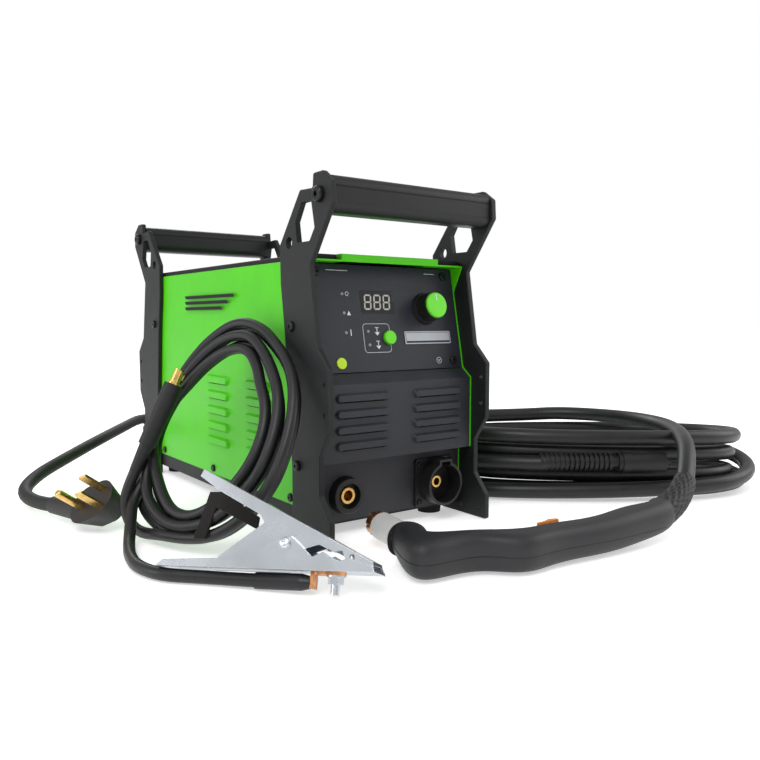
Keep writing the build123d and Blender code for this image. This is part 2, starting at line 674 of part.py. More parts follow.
HOSE_ROUTE = [
    at(VALVE_X, VALVE_Y - 12, HOSE_Z), at(VALVE_X, 318, HOSE_Z), at(-60, 282, 21), at(-66, 240, 20),
    at(-67, 190, 19.5), at(-65, 140, 20), at(-54, 107, 20.5), at(-18, 101, 23), at(20, 106, 29),
    at(SOCKET_X, 92, SOCKET_Z), at(SOCKET_X, 62, SOCKET_Z),
]


def corner_radii(route, name):
    """The radius of each rounded corner: as large as the shorter of its two runs allows."""
    radii = []
    for before, corner, after in zip(route, route[1:], route[2:]):
        turn = radians((corner - before).get_angle(after - corner))
        shorter = min((corner - before).length, (after - corner).length)
        radii.append(0.45 * shorter / tan(turn / 2))
    print(name, "arc radii", [round(radius) for radius in radii])
    return radii


def round_tube(route, diameter, name):
    """A tube of straight runs and tangent arcs."""
    with BuildPart() as tube:
        with BuildLine() as path:
            FilletPolyline(*route, radius=corner_radii(route, name))
        with BuildSketch(Plane(origin=route[0], z_dir=route[1] - route[0])):
            Circle(diameter / 2)
        sweep()
    length = path.wire().length
    share = tube.part.volume / (pi * diameter ** 2 / 4 * length)
    print(name, "length", round(length), "volume over section times length", round(share, 4))
    return tube.part


save(round_tube(HOSE_ROUTE, 7.0, "air_hose"), "air_hose")

with BuildPart() as control_board:
    with BuildSketch(on_panel(0, -8, out=-PANEL_T - 14)):
        Rectangle(140, 84)
    extrude(amount=-1.6)
    with BuildSketch(on_panel(DISPLAY_XY[0], DISPLAY_XY[1], out=-PANEL_T - 14)):
        Rectangle(34, 16)
    extrude(amount=6)
    with BuildSketch(on_panel(KNOB_X, 0, out=-PANEL_T - 14)):
        Rectangle(14, 14)
        Circle(3.2, mode=Mode.SUBTRACT)
    extrude(amount=7)
save(control_board.part, "control_board")


# ---------------------------------------------------------------- power cord, coil and plug
POWER_TURNS = 3
POWER_COIL_R = 75.0
POWER_COIL_AT = (60.0, 630.0)
coil_x, coil_y = POWER_COIL_AT
tail_join = at(coil_x - POWER_COIL_R, 575, POWER_CORD_D / 2)
TAIL_ROUTE = [
    at(GLAND_XZ[0], GLAND_END_Y, GLAND_XZ[1]), at(GLAND_XZ[0], 467, GLAND_XZ[1]), at(-2, 502, 31),
    at(-15, 544, POWER_CORD_D / 2), tail_join,
]
save(round_tube(TAIL_ROUTE, POWER_CORD_D, "power_cord_tail"), "power_cord_tail")

top_turn = (POWER_TURNS - 0.5) * POWER_CORD_D
cord_tangent = at(62, 555.6, top_turn - 0.8)
cord_knee = at(-50.6, 552, 48.5)
cord_join = cord_tangent + (cord_knee - cord_tangent).normalized() * 50
lower_stub = round_tube([tail_join, at(-15, 604, POWER_CORD_D / 2), at(-8, 650, 9)], POWER_CORD_D, "lower stub")
upper_stub = round_tube([cord_join, cord_tangent, at(93, 563.5, 25)], POWER_CORD_D, "upper stub")
with BuildPart() as power_cord_coil:
    with BuildSketch():
        with Locations((coil_x, coil_y + FRONT)):
            Circle(POWER_COIL_R + POWER_CORD_D / 2)
            Circle(POWER_COIL_R - POWER_CORD_D / 2, mode=Mode.SUBTRACT)
    extrude(amount=POWER_TURNS * POWER_CORD_D)
    fillet(power_cord_coil.edges().filter_by(GeomType.CIRCLE), radius=4)
    add(lower_stub)
    add(upper_stub)
save(power_cord_coil.part, "power_cord_coil")

cord_entry = at(-241.2, 241.6, 12.3)
CORD_ROUTE = [
    cord_join, cord_knee, at(-100, 482, 46), at(-154, 411, 42), at(-203, 361, 33), at(-235, 337, 24),
    at(-257, 304, 15.5), at(-252, 268, 10.5), cord_entry,
]
save(round_tube(CORD_ROUTE, POWER_CORD_D, "power_cord"), "power_cord")

plug_plane = Plane(origin=at(-225.2, 173.4, 26.6), x_dir=(0.502, -0.765, 0.408), z_dir=(-0.782, -0.195, 0.592))
entry_dir = (CORD_ROUTE[-2] - CORD_ROUTE[-1]).normalized()
boot_root = plug_plane.from_local_coords((-12, 0, -13))
BLADE_SPOTS = [(12, -8.5), (12, 8.5)]
GROUND_PIN_SPOT = (-12.5, 0)
with BuildPart() as plug_boot:
    with BuildSketch(Plane(origin=boot_root, z_dir=cord_entry - boot_root)):
        Circle(11)
    with BuildSketch(Plane(origin=cord_entry, z_dir=entry_dir)):
        Circle(8.0)
    loft()
with BuildPart() as plug_body:
    with BuildSketch(plug_plane):
        SlotOverall(50, 37)
    extrude(amount=-24, taper=18)
    add(plug_boot.part)
    with BuildSketch(plug_plane):
        with Locations(*BLADE_SPOTS):
            Rectangle(8, 2.2)
        with Locations(GROUND_PIN_SPOT):
            Circle(3.6)
    extrude(amount=-8, mode=Mode.SUBTRACT)
save(plug_body.part, "plug_body")

with BuildPart() as plug_blades:
    with BuildSketch(plug_plane.offset(-8)):
        with Locations(*BLADE_SPOTS):
            Rectangle(8, 2.2)
    extrude(amount=8 + 24)
    chamfer(plug_blades.edges().group_by(Axis(plug_plane.origin, plug_plane.z_dir))[-1], length=0.7)
    with BuildSketch(plug_plane.offset(-8)):
        with Locations(GROUND_PIN_SPOT):
            Circle(3.6)
    extrude(amount=8 + 27)
    fillet(plug_blades.edges().filter_by(GeomType.CIRCLE).group_by(
        Axis(plug_plane.origin, plug_plane.z_dir))[-1], radius=2.4)
save(plug_blades.part, "plug_blades")

# ---------------------------------------------------------------- ground lead: coil, work plug and strap
COIL_OUTER = [(23, 206), (-25, 184), (-69, 142), (-80, 94), (-77, 52), (-45, 12), (0, 0), (45, 1),
              (83, 14), (107, 60), (86, 136), (60, 184)]
COIL_INNER = [(10, 168), (-22, 133), (-32, 60), (9, 24), (49, 66), (54, 132)]
ground_plane = Plane(origin=at(-183.5, 67.4, 6.5), x_dir=(-0.290, 0.957, 0), z_dir=(0.852, 0.258, -0.455))
COIL_HALF = 8.0


def on_coil(u, v, out):
    """A point beside the ground lead's coil: across, up the lean, and out from its middle to the viewer."""
    return ground_plane.from_local_coords((u, v, -out))


plug_tip = on_coil(57.9, 141.3, 20.2)
boot_end = on_coil(74.5, 47.3, 14.2)
plug_axis = (plug_tip - boot_end).normalized()
work_stub = round_tube([boot_end, boot_end - plug_axis * 16, on_coil(88, 10, 4)], GROUND_CABLE_D, "work stub")
lead_start = on_coil(56, 6, 13.4)
lead_second = at(-217, 98, 5.4)
lead_dir = (lead_second - lead_start).normalized()
lead_stub = round_tube(
    [lead_start, lead_start - lead_dir * 22, on_coil(74, 43, 3), on_coil(74, 58, 0)], GROUND_CABLE_D, "lead stub")

with BuildPart() as ground_cable_coil:
    with BuildSketch(ground_plane.offset(-COIL_HALF)):
        with BuildLine():
            Spline(*COIL_OUTER, periodic=True)
        make_face()
    extrude(amount=2 * COIL_HALF)
    fillet(ground_cable_coil.edges(), radius=4)
    with BuildSketch(ground_plane.offset(-COIL_HALF)):
        with BuildLine():
            Spline(*COIL_INNER, periodic=True)
        make_face()
    extrude(amount=2 * COIL_HALF, mode=Mode.SUBTRACT)
    add(work_stub)
    add(lead_stub)
save(ground_cable_coil.part, "ground_cable_coil")

boot_plane = Plane(origin=boot_end, z_dir=plug_axis)
boot_length = (plug_tip - boot_end).length - 14
with BuildPart() as work_plug_body:
    with BuildSketch(boot_plane):
        Circle(4.9)
    extrude(amount=boot_length * 0.3, taper=-3)
    with BuildSketch(boot_plane.offset(boot_length * 0.3)):
        Circle(7.6)
    extrude(amount=boot_length * 0.7, taper=-0.8)
    with BuildSketch(boot_plane.offset(boot_length)):
        Circle(4.0)
    extrude(amount=-14, mode=Mode.SUBTRACT)
save(work_plug_body.part, "work_plug_body")

with BuildPart() as work_plug_pin:
    with BuildSketch(boot_plane.offset(boot_length - 14)):
        Circle(4.0)
    extrude(amount=14)
    with BuildSketch(boot_plane.offset(boot_length)):
        Circle(5.5)
    extrude(amount=2)
    with BuildSketch(boot_plane.offset(boot_length + 2)):
        Circle(4.4)
    extrude(amount=12)
    chamfer(work_plug_pin.faces().sort_by(Axis(boot_end, plug_axis))[-1].edges(), length=0.8)
    with BuildSketch(boot_plane.offset(boot_length + 6)):
        with Locations((4.0, 0)):
            Rectangle(3, 2.4)
    extrude(amount=5)
save(work_plug_pin.part, "work_plug_pin")

with BuildPart() as cable_strap:
    with BuildSketch(ground_plane.offset(-COIL_HALF)):
        with BuildLine():
            Polyline((-32, 8), (-20, 6), (-20, 44), (-34, 46), (-80, 33), (-82, 24), (-33, 33), close=True)
        make_face()
    extrude(amount=-1.8)
    chamfer(cable_strap.faces().sort_by(Axis(ground_plane.origin, -ground_plane.z_dir))[-1].edges(), length=0.4)
save(cable_strap.part, "cable_strap")

# ---------------------------------------------------------------- ground clamp
CLAMP_HALF = 13.0
ARM_T = 2.0
PIVOT = (-33.7, 17.5)
PIN_R = 3.0
clamp_plane = Plane(origin=at(-135.9, -84.5, 15.5), x_dir=(0.6077, -0.7916, 0.0637), z_dir=(-0.740, -0.535, 0.407))
LOWER_ARM = [(-132, 0), (-127, 4.5), (-65, 7.2), (-38, 21.7), (-30, 22.5), (-13.4, 9), (-6, 12.2),
             (5.3, 6.5), (12.6, 8.6), (28.7, 4.2), (31, 0)]
UPPER_ARM = [(-104.7, 69.8), (28.5, 7.1), (29.5, 2.8), (13, 2.8), (8.2, 10), (6.8, 13.7), (1, 12.5),
             (-10.3, 17.3), (-19.4, 14.4), (-26, 6), (-44, 3.4), (-82, 3.4), (-84.9, 7.6), (-52, 31.4),
             (-56, 37.2), (-89, 53.4), (-107, 64.7)]
UPPER_HOLLOW = [(-114.7, 72.3), (36.7, 1.0), (36.7, -20), (-114.7, -20)]

with BuildPart() as clamp_lower_arm:
    with BuildSketch(clamp_plane.offset(-CLAMP_HALF)):
        with BuildLine():
            Polyline(*LOWER_ARM, close=True)
        make_face()
    extrude(amount=2 * CLAMP_HALF)
    with BuildSketch(clamp_plane.offset(ARM_T - CLAMP_HALF)):
        with Locations((-50, ARM_T)):
            Rectangle(200, 40, align=(Align.CENTER, Align.MIN))
    extrude(amount=2 * (CLAMP_HALF - ARM_T), mode=Mode.SUBTRACT)
    for side in (-1, 1):
        with BuildSketch(clamp_plane.offset(side * 7.8)):
            with Locations((-67, 0)):
                Rectangle(58, 8)
        extrude(amount=side * 3.2, mode=Mode.SUBTRACT)
    with BuildSketch(clamp_plane.offset(-CLAMP_HALF)):
        with Locations(PIVOT):
            Circle(PIN_R)
    extrude(amount=2 * CLAMP_HALF, mode=Mode.SUBTRACT)
    with BuildSketch(Plane(origin=clamp_plane.origin, x_dir=clamp_plane.x_dir, z_dir=clamp_plane.y_dir)):
        Circle(3.0)
    extrude(amount=ARM_T, mode=Mode.SUBTRACT)
save(clamp_lower_arm.part, "clamp_lower_arm")

UPPER_HALF = CLAMP_HALF - ARM_T - 0.4
with BuildPart() as clamp_upper_arm:
    with BuildSketch(clamp_plane.offset(-UPPER_HALF)):
        with BuildLine():
            Polyline(*UPPER_ARM, close=True)
        make_face()
        with Locations((14, 9.5)):
            Circle(1.8, mode=Mode.SUBTRACT)
    extrude(amount=2 * UPPER_HALF)
    with BuildSketch(clamp_plane.offset(ARM_T - UPPER_HALF)):
        with BuildLine():
            Polyline(*UPPER_HOLLOW, close=True)
        make_face()
    extrude(amount=2 * (UPPER_HALF - ARM_T), mode=Mode.SUBTRACT)
    with BuildSketch(clamp_plane.offset(-UPPER_HALF)):
        with Locations(PIVOT):
            Circle(PIN_R + FIT)
    extrude(amount=2 * UPPER_HALF, mode=Mode.SUBTRACT)
save(clamp_upper_arm.part, "clamp_upper_arm")

with BuildPart() as clamp_pivot_pin:
    with BuildSketch(clamp_plane.offset(-CLAMP_HALF)):
        with Locations(PIVOT):
            Circle(PIN_R)
    extrude(amount=2 * CLAMP_HALF)
    for side in (-1, 1):
        with BuildSketch(clamp_plane.offset(side * CLAMP_HALF)):
            with Locations(PIVOT):
                Circle(4.2)
        extrude(amount=side * 1.4, taper=20)
save(clamp_pivot_pin.part, "clamp_pivot_pin")

SPRING_R = 5.0
SPRING_WIRE = 1.6
SPRING_HALF = 5.0
pivot_plane = Plane(origin=clamp_plane.from_local_coords((PIVOT[0], PIVOT[1], -SPRING_HALF)),
                    x_dir=clamp_plane.x_dir, z_dir=clamp_plane.z_dir)
SPRING_LEG = 12.0
coil_line = pivot_plane.location * Helix(pitch=2.5, height=2 * SPRING_HALF, radius=SPRING_R)
first_leg = Line(coil_line @ 0 - (coil_line % 0) * SPRING_LEG, coil_line @ 0)
last_leg = Line(coil_line @ 1, coil_line @ 1 + (coil_line % 1) * SPRING_LEG)
spring_line = Wire([first_leg, coil_line, last_leg])
spring_end = Plane(origin=first_leg @ 0, z_dir=coil_line % 0) * Circle(SPRING_WIRE / 2)
clamp_spring = sweep(spring_end, path=spring_line, is_frenet=True)
save(clamp_spring, "clamp_spring")

bolt_plane = Plane(origin=clamp_plane.origin, x_dir=clamp_plane.x_dir, z_dir=-clamp_plane.y_dir)
LUG_T = 1.8
with BuildPart() as clamp_bolt:
    with BuildSketch(bolt_plane.offset(-ARM_T)):
        RegularPolygon(5.7, 6)
    extrude(amount=-4)
    with BuildSketch(bolt_plane.offset(-ARM_T)):
        Circle(3.0)
    extrude(amount=ARM_T + 14.6)
    with BuildSketch(bolt_plane.offset(LUG_T)):
        Circle(6.4)
    extrude(amount=1.2)
    with BuildSketch(bolt_plane.offset(LUG_T + 1.2)):
        RegularPolygon(5.7, 6)
    extrude(amount=4.6)
save(clamp_bolt.part, "clamp_bolt")

SLEEVE_R = 5.75
sleeve_start = clamp_plane.from_local_coords((-17, -6.9, 1))
with BuildPart() as cable_lug:
    with BuildSketch(bolt_plane):
        with Locations((-5, 0)):
            SlotOverall(24, 13)
        Circle(3.0, mode=Mode.SUBTRACT)
    extrude(amount=LUG_T)
    with BuildSketch(bolt_plane):
        with Locations((-15.8, 0)):
            Rectangle(2.4, 9)
    extrude(amount=11)
save(cable_lug.part, "cable_lug")

sleeve_plane = Plane(origin=sleeve_start, x_dir=clamp_plane.z_dir, z_dir=-clamp_plane.x_dir)
with BuildPart() as lug_sleeve:
    with BuildSketch(sleeve_plane):
        Circle(SLEEVE_R - 1.6)
    with BuildSketch(sleeve_plane.offset(7)):
        Circle(SLEEVE_R)
    loft()
    with BuildSketch(Plane(origin=sleeve_plane.offset(7).origin, x_dir=clamp_plane.z_dir, z_dir=-clamp_plane.x_dir)):
        Circle(SLEEVE_R)
    extrude(amount=34)
lug_sleeve_end = sleeve_plane.offset(41).origin

LEAD_ROUTE = [
    lead_start, lead_second, at(-226, 68, 5.2), at(-230, 40, 5.2),
    clamp_plane.from_local_coords((-130, -5.9, 8)), clamp_plane.from_local_coords((-95, -6.2, 3)),
    lug_sleeve_end,
]
ground_lead = round_tube(LEAD_ROUTE, GROUND_CABLE_D, "ground_cable")
with BuildPart() as ground_cable:
    add(ground_lead)
    add(lug_sleeve.part)
save(ground_cable.part, "ground_cable")

# ---------------------------------------------------------------- torch
TORCH_Z = 18.5
GRIP_SECTIONS = [                                   # near side, far side, half height, squareness, middle's height
    ((-68.0, -50.5), (-40.4, -55.2), 13.6, 2.3, 17.4),
    ((-73.5, -71.0), (-43.0, -69.5), 14.6, 2.8, 16.0),
    ((-77.5, -105.5), (-45.5, -77.5), 15.0, 3.2, 15.8),
    ((-49.0, -110.0), (-31.5, -87.0), 14.6, 3.2, 15.8),
    ((-18.0, -126.0), (-7.0, -100.5), 14.6, 3.2, 15.8),
    ((12.0, -138.0), (21.0, -112.0), 14.6, 3.2, 15.8),
    ((38.0, -139.0), (44.0, -112.0), 14.2, 2.8, 15.8),
    ((68.0, -143.5), (71.0, -117.0), 14.2, 2.5, 16.0),
    ((98.0, -146.5), (99.5, -119.0), 14.6, 2.5, 17.0),
    ((129.0, -148.0), (129.0, -120.5), 14.4, 2.4, 19.0),
    ((160.0, -147.0), (157.0, -121.0), 13.2, 2.2, 22.0),
]
GRIP_SECTION_POINTS = 16


def across_grip(near, far, height):
    """The upright plane through both sides of the grip, with its X from the near side to the far side."""
    middle = at((near[0] + far[0]) / 2, (near[1] + far[1]) / 2, height)
    side = Vector(far[0] - near[0], far[1] - near[1], 0)
    return Plane(origin=middle, x_dir=side, z_dir=(side.Y, -side.X, 0))


def soft_box(half_width, half_height, squareness):
    """Points around a soft-cornered box; a squareness of 2 gives an ellipse."""
    points = []
    for step in range(GRIP_SECTION_POINTS):
        c, s = cos(2 * pi * step / GRIP_SECTION_POINTS), sin(2 * pi * step / GRIP_SECTION_POINTS)
        points.append((half_width * abs(c) ** (2 / squareness) * (1 if c > 0 else -1),
                       half_height * abs(s) ** (2 / squareness) * (1 if s > 0 else -1)))
    return points


GRIP_END = across_grip(GRIP_SECTIONS[-1][0], GRIP_SECTIONS[-1][1], GRIP_SECTIONS[-1][4])
TRIGGER_AT = at(26.9, -125.3, 17.0)
trigger_plane = Plane(origin=TRIGGER_AT, x_dir=(0.9586, -0.285, 0), z_dir=(0, 0, 1))
TRIGGER_PIVOT = (-23.0, 7.5)
TRIGGER_HALF = 6.0
PADDLE_HALF = 10.0
TRIGGER_PIN_R = 1.6
with BuildPart() as torch_body:
    for near, far, half_height, squareness, height in GRIP_SECTIONS:
        with BuildSketch(across_grip(near, far, height)):
            with BuildLine():
                half_width = hypot(far[0] - near[0], far[1] - near[1]) / 2
                Spline(*soft_box(half_width, half_height, squareness), periodic=True)
            make_face()
    loft()
    with BuildSketch(trigger_plane.offset(-TRIGGER_HALF - GAP)):
        with Locations((0, 2)):
            Rectangle(58, 24, align=(Align.CENTER, Align.MIN))
    extrude(amount=2 * (TRIGGER_HALF + GAP), mode=Mode.SUBTRACT)
    with BuildSketch(trigger_plane.offset(-9)):
        with Locations(TRIGGER_PIVOT):
            Circle(TRIGGER_PIN_R + FIT)
    extrude(amount=18, mode=Mode.SUBTRACT)
save(torch_body.part, "torch_body")

with BuildPart() as torch_trigger:
    with BuildSketch(trigger_plane.offset(-TRIGGER_HALF)):
        with BuildLine():
            Polyline((-27, 4), (-27, 10.5), (-14, 15), (4, 20.8), (14, 24), (26, 26.5), (26.5, 13),
                     (18, 9.5), (-10, 6), close=True)
        make_face()
    extrude(amount=2 * TRIGGER_HALF)
    with BuildSketch(trigger_plane.offset(-PADDLE_HALF)):
        with BuildLine():
            Polyline((4, 19.5), (4, 21.5), (12, 24), (19, 28.5), (26.3, 28), (26.3, 25.2), (14, 22.2), close=True)
        make_face()
    extrude(amount=2 * PADDLE_HALF)
    with BuildSketch(trigger_plane.offset(-8.8)):
        with Locations(TRIGGER_PIVOT):
            Circle(TRIGGER_PIN_R)
    extrude(amount=17.6)
save(torch_trigger.part, "torch_trigger")

cup_plane = Plane(origin=at(-54.2, -52.85, TORCH_Z), z_dir=(27.6 * 0.17029, 27.6, 0))
CUP_LENGTH = 37.0
CUP_R = 11.2
NOZZLE_R = 8.2
NOZZLE_RIM_R = 10.4
with BuildPart() as torch_cup:
    with BuildSketch(cup_plane):
        Circle(CUP_R)
    extrude(amount=CUP_LENGTH)
    chamfer(torch_cup.faces().sort_by(Axis(cup_plane.origin, cup_plane.z_dir))[-1].edges(), length=1.2)
    with BuildSketch(cup_plane.offset(CUP_LENGTH)):
        Circle(NOZZLE_R)
    extrude(amount=-16, mode=Mode.SUBTRACT)
save(torch_cup.part, "torch_cup")

with BuildPart() as torch_tip:
    with BuildSketch(cup_plane.offset(CUP_LENGTH - 16)):
        Circle(NOZZLE_R)
    extrude(amount=16)
    with BuildSketch(cup_plane.offset(CUP_LENGTH)):
        Circle(NOZZLE_RIM_R)
    extrude(amount=9)
    with BuildSketch(cup_plane.offset(CUP_LENGTH + 9)):
        Circle(NOZZLE_RIM_R - 0.8)
    extrude(amount=5.5, taper=24)
    with BuildSketch(cup_plane.offset(CUP_LENGTH + 3)):
        with PolarLocations(NOZZLE_RIM_R, 8):
            Circle(1.3)
    extrude(amount=13, mode=Mode.SUBTRACT)
    with BuildSketch(cup_plane.offset(CUP_LENGTH + 14.5)):
        Circle(1.4)
    extrude(amount=-8, mode=Mode.SUBTRACT)
save(torch_tip.part, "torch_tip")

# ---------------------------------------------------------------- torch lead, its coil and its connector
LEAD_COIL_AT = (287.0, 56.0)
LEAD_COIL_OUTER = (200.0, 110.0)
LEAD_COIL_INNER = (134.0, 46.0)
LEAD_COIL_H = 60.0
lead_plane = Plane(origin=at(*LEAD_COIL_AT, 0), x_dir=(0.808, -0.589, 0), z_dir=(0, 0, 1))
LEAD_Z = LEAD_COIL_H + TORCH_CABLE_D / 2 + 0.6
cable_start = at(210, -124, 40.5)
TORCH_LEAD_ROUTE = [cable_start, at(240, -108, 60.5), at(276, -80, LEAD_Z)]
for across, back in ((85, -62), (88, -12), (72, 36), (36, 70), (-8, 88), (-50, 92)):
    TORCH_LEAD_ROUTE.append(lead_plane.from_local_coords((across, back, LEAD_Z)))
save(round_tube(TORCH_LEAD_ROUTE, TORCH_CABLE_D, "torch_cable"), "torch_cable")

relief_dir = (TORCH_LEAD_ROUTE[1] - TORCH_LEAD_ROUTE[0]).normalized()
with BuildPart() as torch_strain_relief:
    with BuildSketch(GRIP_END):
        Circle(12.6)
    with BuildSketch(Plane(origin=at(185, -131.5, 29.4), z_dir=(0.90, 0.22, 0.36))):
        Circle(11.2)
    with BuildSketch(Plane(origin=cable_start, z_dir=relief_dir)):
        Circle(9.4)
    loft()
save(torch_strain_relief.part, "torch_strain_relief")

lead_end = TORCH_LEAD_ROUTE[-1]
end_dir = (TORCH_LEAD_ROUTE[-1] - TORCH_LEAD_ROUTE[-2]).normalized()
lead_coil_stub = round_tube(
    [lead_end, lead_end + end_dir * 34, lead_plane.from_local_coords((-122, 80, 50))],
    TORCH_CABLE_D, "torch stub")
POCKET = (-68.0, 70.0, 28.5, 52.0)       # where the connector lies: across from, to, and height from, to
with BuildPart() as torch_cable_coil:
    with BuildSketch(lead_plane):
        Ellipse(*LEAD_COIL_OUTER)
        Ellipse(*LEAD_COIL_INNER, mode=Mode.SUBTRACT)
    extrude(amount=LEAD_COIL_H)
    with BuildSketch(lead_plane.offset(POCKET[2])):
        with Locations(((POCKET[0] + POCKET[1]) / 2, -79)):
            Rectangle(POCKET[1] - POCKET[0], 60, align=(Align.CENTER, Align.MAX))
    extrude(amount=POCKET[3] - POCKET[2], mode=Mode.SUBTRACT)
    add(lead_coil_stub)
save(torch_cable_coil.part, "torch_cable_coil")

connector_z = (POCKET[2] + POCKET[3]) / 2
connector_plane = Plane(origin=lead_plane.from_local_coords((POCKET[0], -93, connector_z)), z_dir=lead_plane.x_dir)
with BuildPart() as torch_connector:
    with BuildSketch(connector_plane):
        Circle(6.5)
    extrude(amount=84)
    for ring in range(15):
        with BuildSketch(connector_plane.offset(2 + 5 * ring)):
            Circle(9.0)
        extrude(amount=3.2)
    with BuildSketch(connector_plane.offset(82)):
        Circle(9.6)
    extrude(amount=4)
    with BuildSketch(connector_plane.offset(86)):
        Circle(11.0)
    extrude(amount=8)
    with BuildSketch(connector_plane.offset(94)):
        Circle(10.2)
    extrude(amount=36)
    with BuildSketch(connector_plane.offset(130)):
        Circle(3.3)
    extrude(amount=6)
save(torch_connector.part, "torch_connector")
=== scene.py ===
"""Inverter plasma cutter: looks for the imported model, in the same frame, in metres."""
import bisect
import json
from math import atan2, cos, hypot, pi, radians, sin, tau

import bmesh
import bpy
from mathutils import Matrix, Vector
from mathutils.bvhtree import BVHTree


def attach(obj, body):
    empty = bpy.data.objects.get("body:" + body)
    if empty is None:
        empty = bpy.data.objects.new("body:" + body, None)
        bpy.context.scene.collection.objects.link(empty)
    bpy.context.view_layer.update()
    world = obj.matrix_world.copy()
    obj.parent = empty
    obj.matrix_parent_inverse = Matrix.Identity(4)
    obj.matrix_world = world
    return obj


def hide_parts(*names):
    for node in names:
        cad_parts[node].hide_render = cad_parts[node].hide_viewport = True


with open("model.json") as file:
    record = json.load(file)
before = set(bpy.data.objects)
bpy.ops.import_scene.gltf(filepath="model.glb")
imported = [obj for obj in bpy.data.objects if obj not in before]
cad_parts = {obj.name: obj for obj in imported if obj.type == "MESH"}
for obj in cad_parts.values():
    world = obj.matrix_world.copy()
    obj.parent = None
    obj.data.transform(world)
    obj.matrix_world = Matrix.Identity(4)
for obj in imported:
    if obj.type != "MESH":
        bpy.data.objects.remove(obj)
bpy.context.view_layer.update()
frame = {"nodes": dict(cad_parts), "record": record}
nodes = frame["nodes"]
MM = 0.001
FRONT = -223.5                      # the front plane's depth in the shared frame, in millimetres
WORLD_LIGHT = 0.62                  # the white surroundings as a light; the camera sees them at 1.0
FLOOR_GLOW = 0.46                   # keeps the floor as white as the surroundings
POWER_LAMP_TOP = 0.157              # only the power light lies below this height, in metres


def at(x, y, z):
    """A point in metres from millimetres, with its depth measured back from the front plane."""
    return Vector((x, y + FRONT, z)) * MM


# ---------------------------------------------------------------- camera, light, floor
def build_stage():
    camera_data = bpy.data.cameras.new("camera")
    camera_data.sensor_width = 36
    camera_data.lens = 35.92
    camera = bpy.data.objects.new("camera", camera_data)
    camera.location = (-0.40624, -0.72842, 0.18598)
    camera.rotation_euler = (radians(85.421), 0, radians(-36.106))
    bpy.context.scene.collection.objects.link(camera)
    bpy.context.scene.camera = camera

    world = bpy.data.worlds.new("studio")
    bpy.context.scene.world = world
    world.use_nodes = True
    tree = world.node_tree
    background = tree.nodes["Background"]
    background.inputs["Color"].default_value = (1.0, 1.0, 1.0, 1)
    seen = tree.nodes.new("ShaderNodeLightPath")
    strength = tree.nodes.new("ShaderNodeMapRange")
    strength.inputs["To Min"].default_value = WORLD_LIGHT
    strength.inputs["To Max"].default_value = 1.0
    tree.links.new(seen.outputs["Is Camera Ray"], strength.inputs["Value"])
    tree.links.new(strength.outputs["Result"], background.inputs["Strength"])
    bpy.context.scene.view_settings.view_transform = "Standard"
    bpy.context.scene.view_settings.look = "None"

    for name, spot, size, power in (
            ("key", (-1.3, -1.2, 1.9), 1.1, 26), ("fill", (1.7, -1.0, 1.1), 1.4, 15),
            ("rear", (0.6, 1.9, 1.5), 1.2, 16), ("low", (-1.9, 0.5, 0.7), 0.9, 9)):
        light = bpy.data.lights.new(name, "AREA")
        light.energy = power
        light.size = size
        lamp = bpy.data.objects.new(name, light)
        lamp.location = spot
        lamp.rotation_euler = (Vector((0, 0, 0.12)) - Vector(spot)).to_track_quat("-Z", "Y").to_euler()
        bpy.context.scene.collection.objects.link(lamp)

    mesh = bpy.data.meshes.new("floor")
    mesh.from_pydata([(-30, -30, 0), (30, -30, 0), (30, 30, 0), (-30, 30, 0)], [], [(0, 1, 2, 3)])
    floor = bpy.data.objects.new("floor", mesh)
    bpy.context.scene.collection.objects.link(floor)
    floor.location.z = -0.0006
    return floor


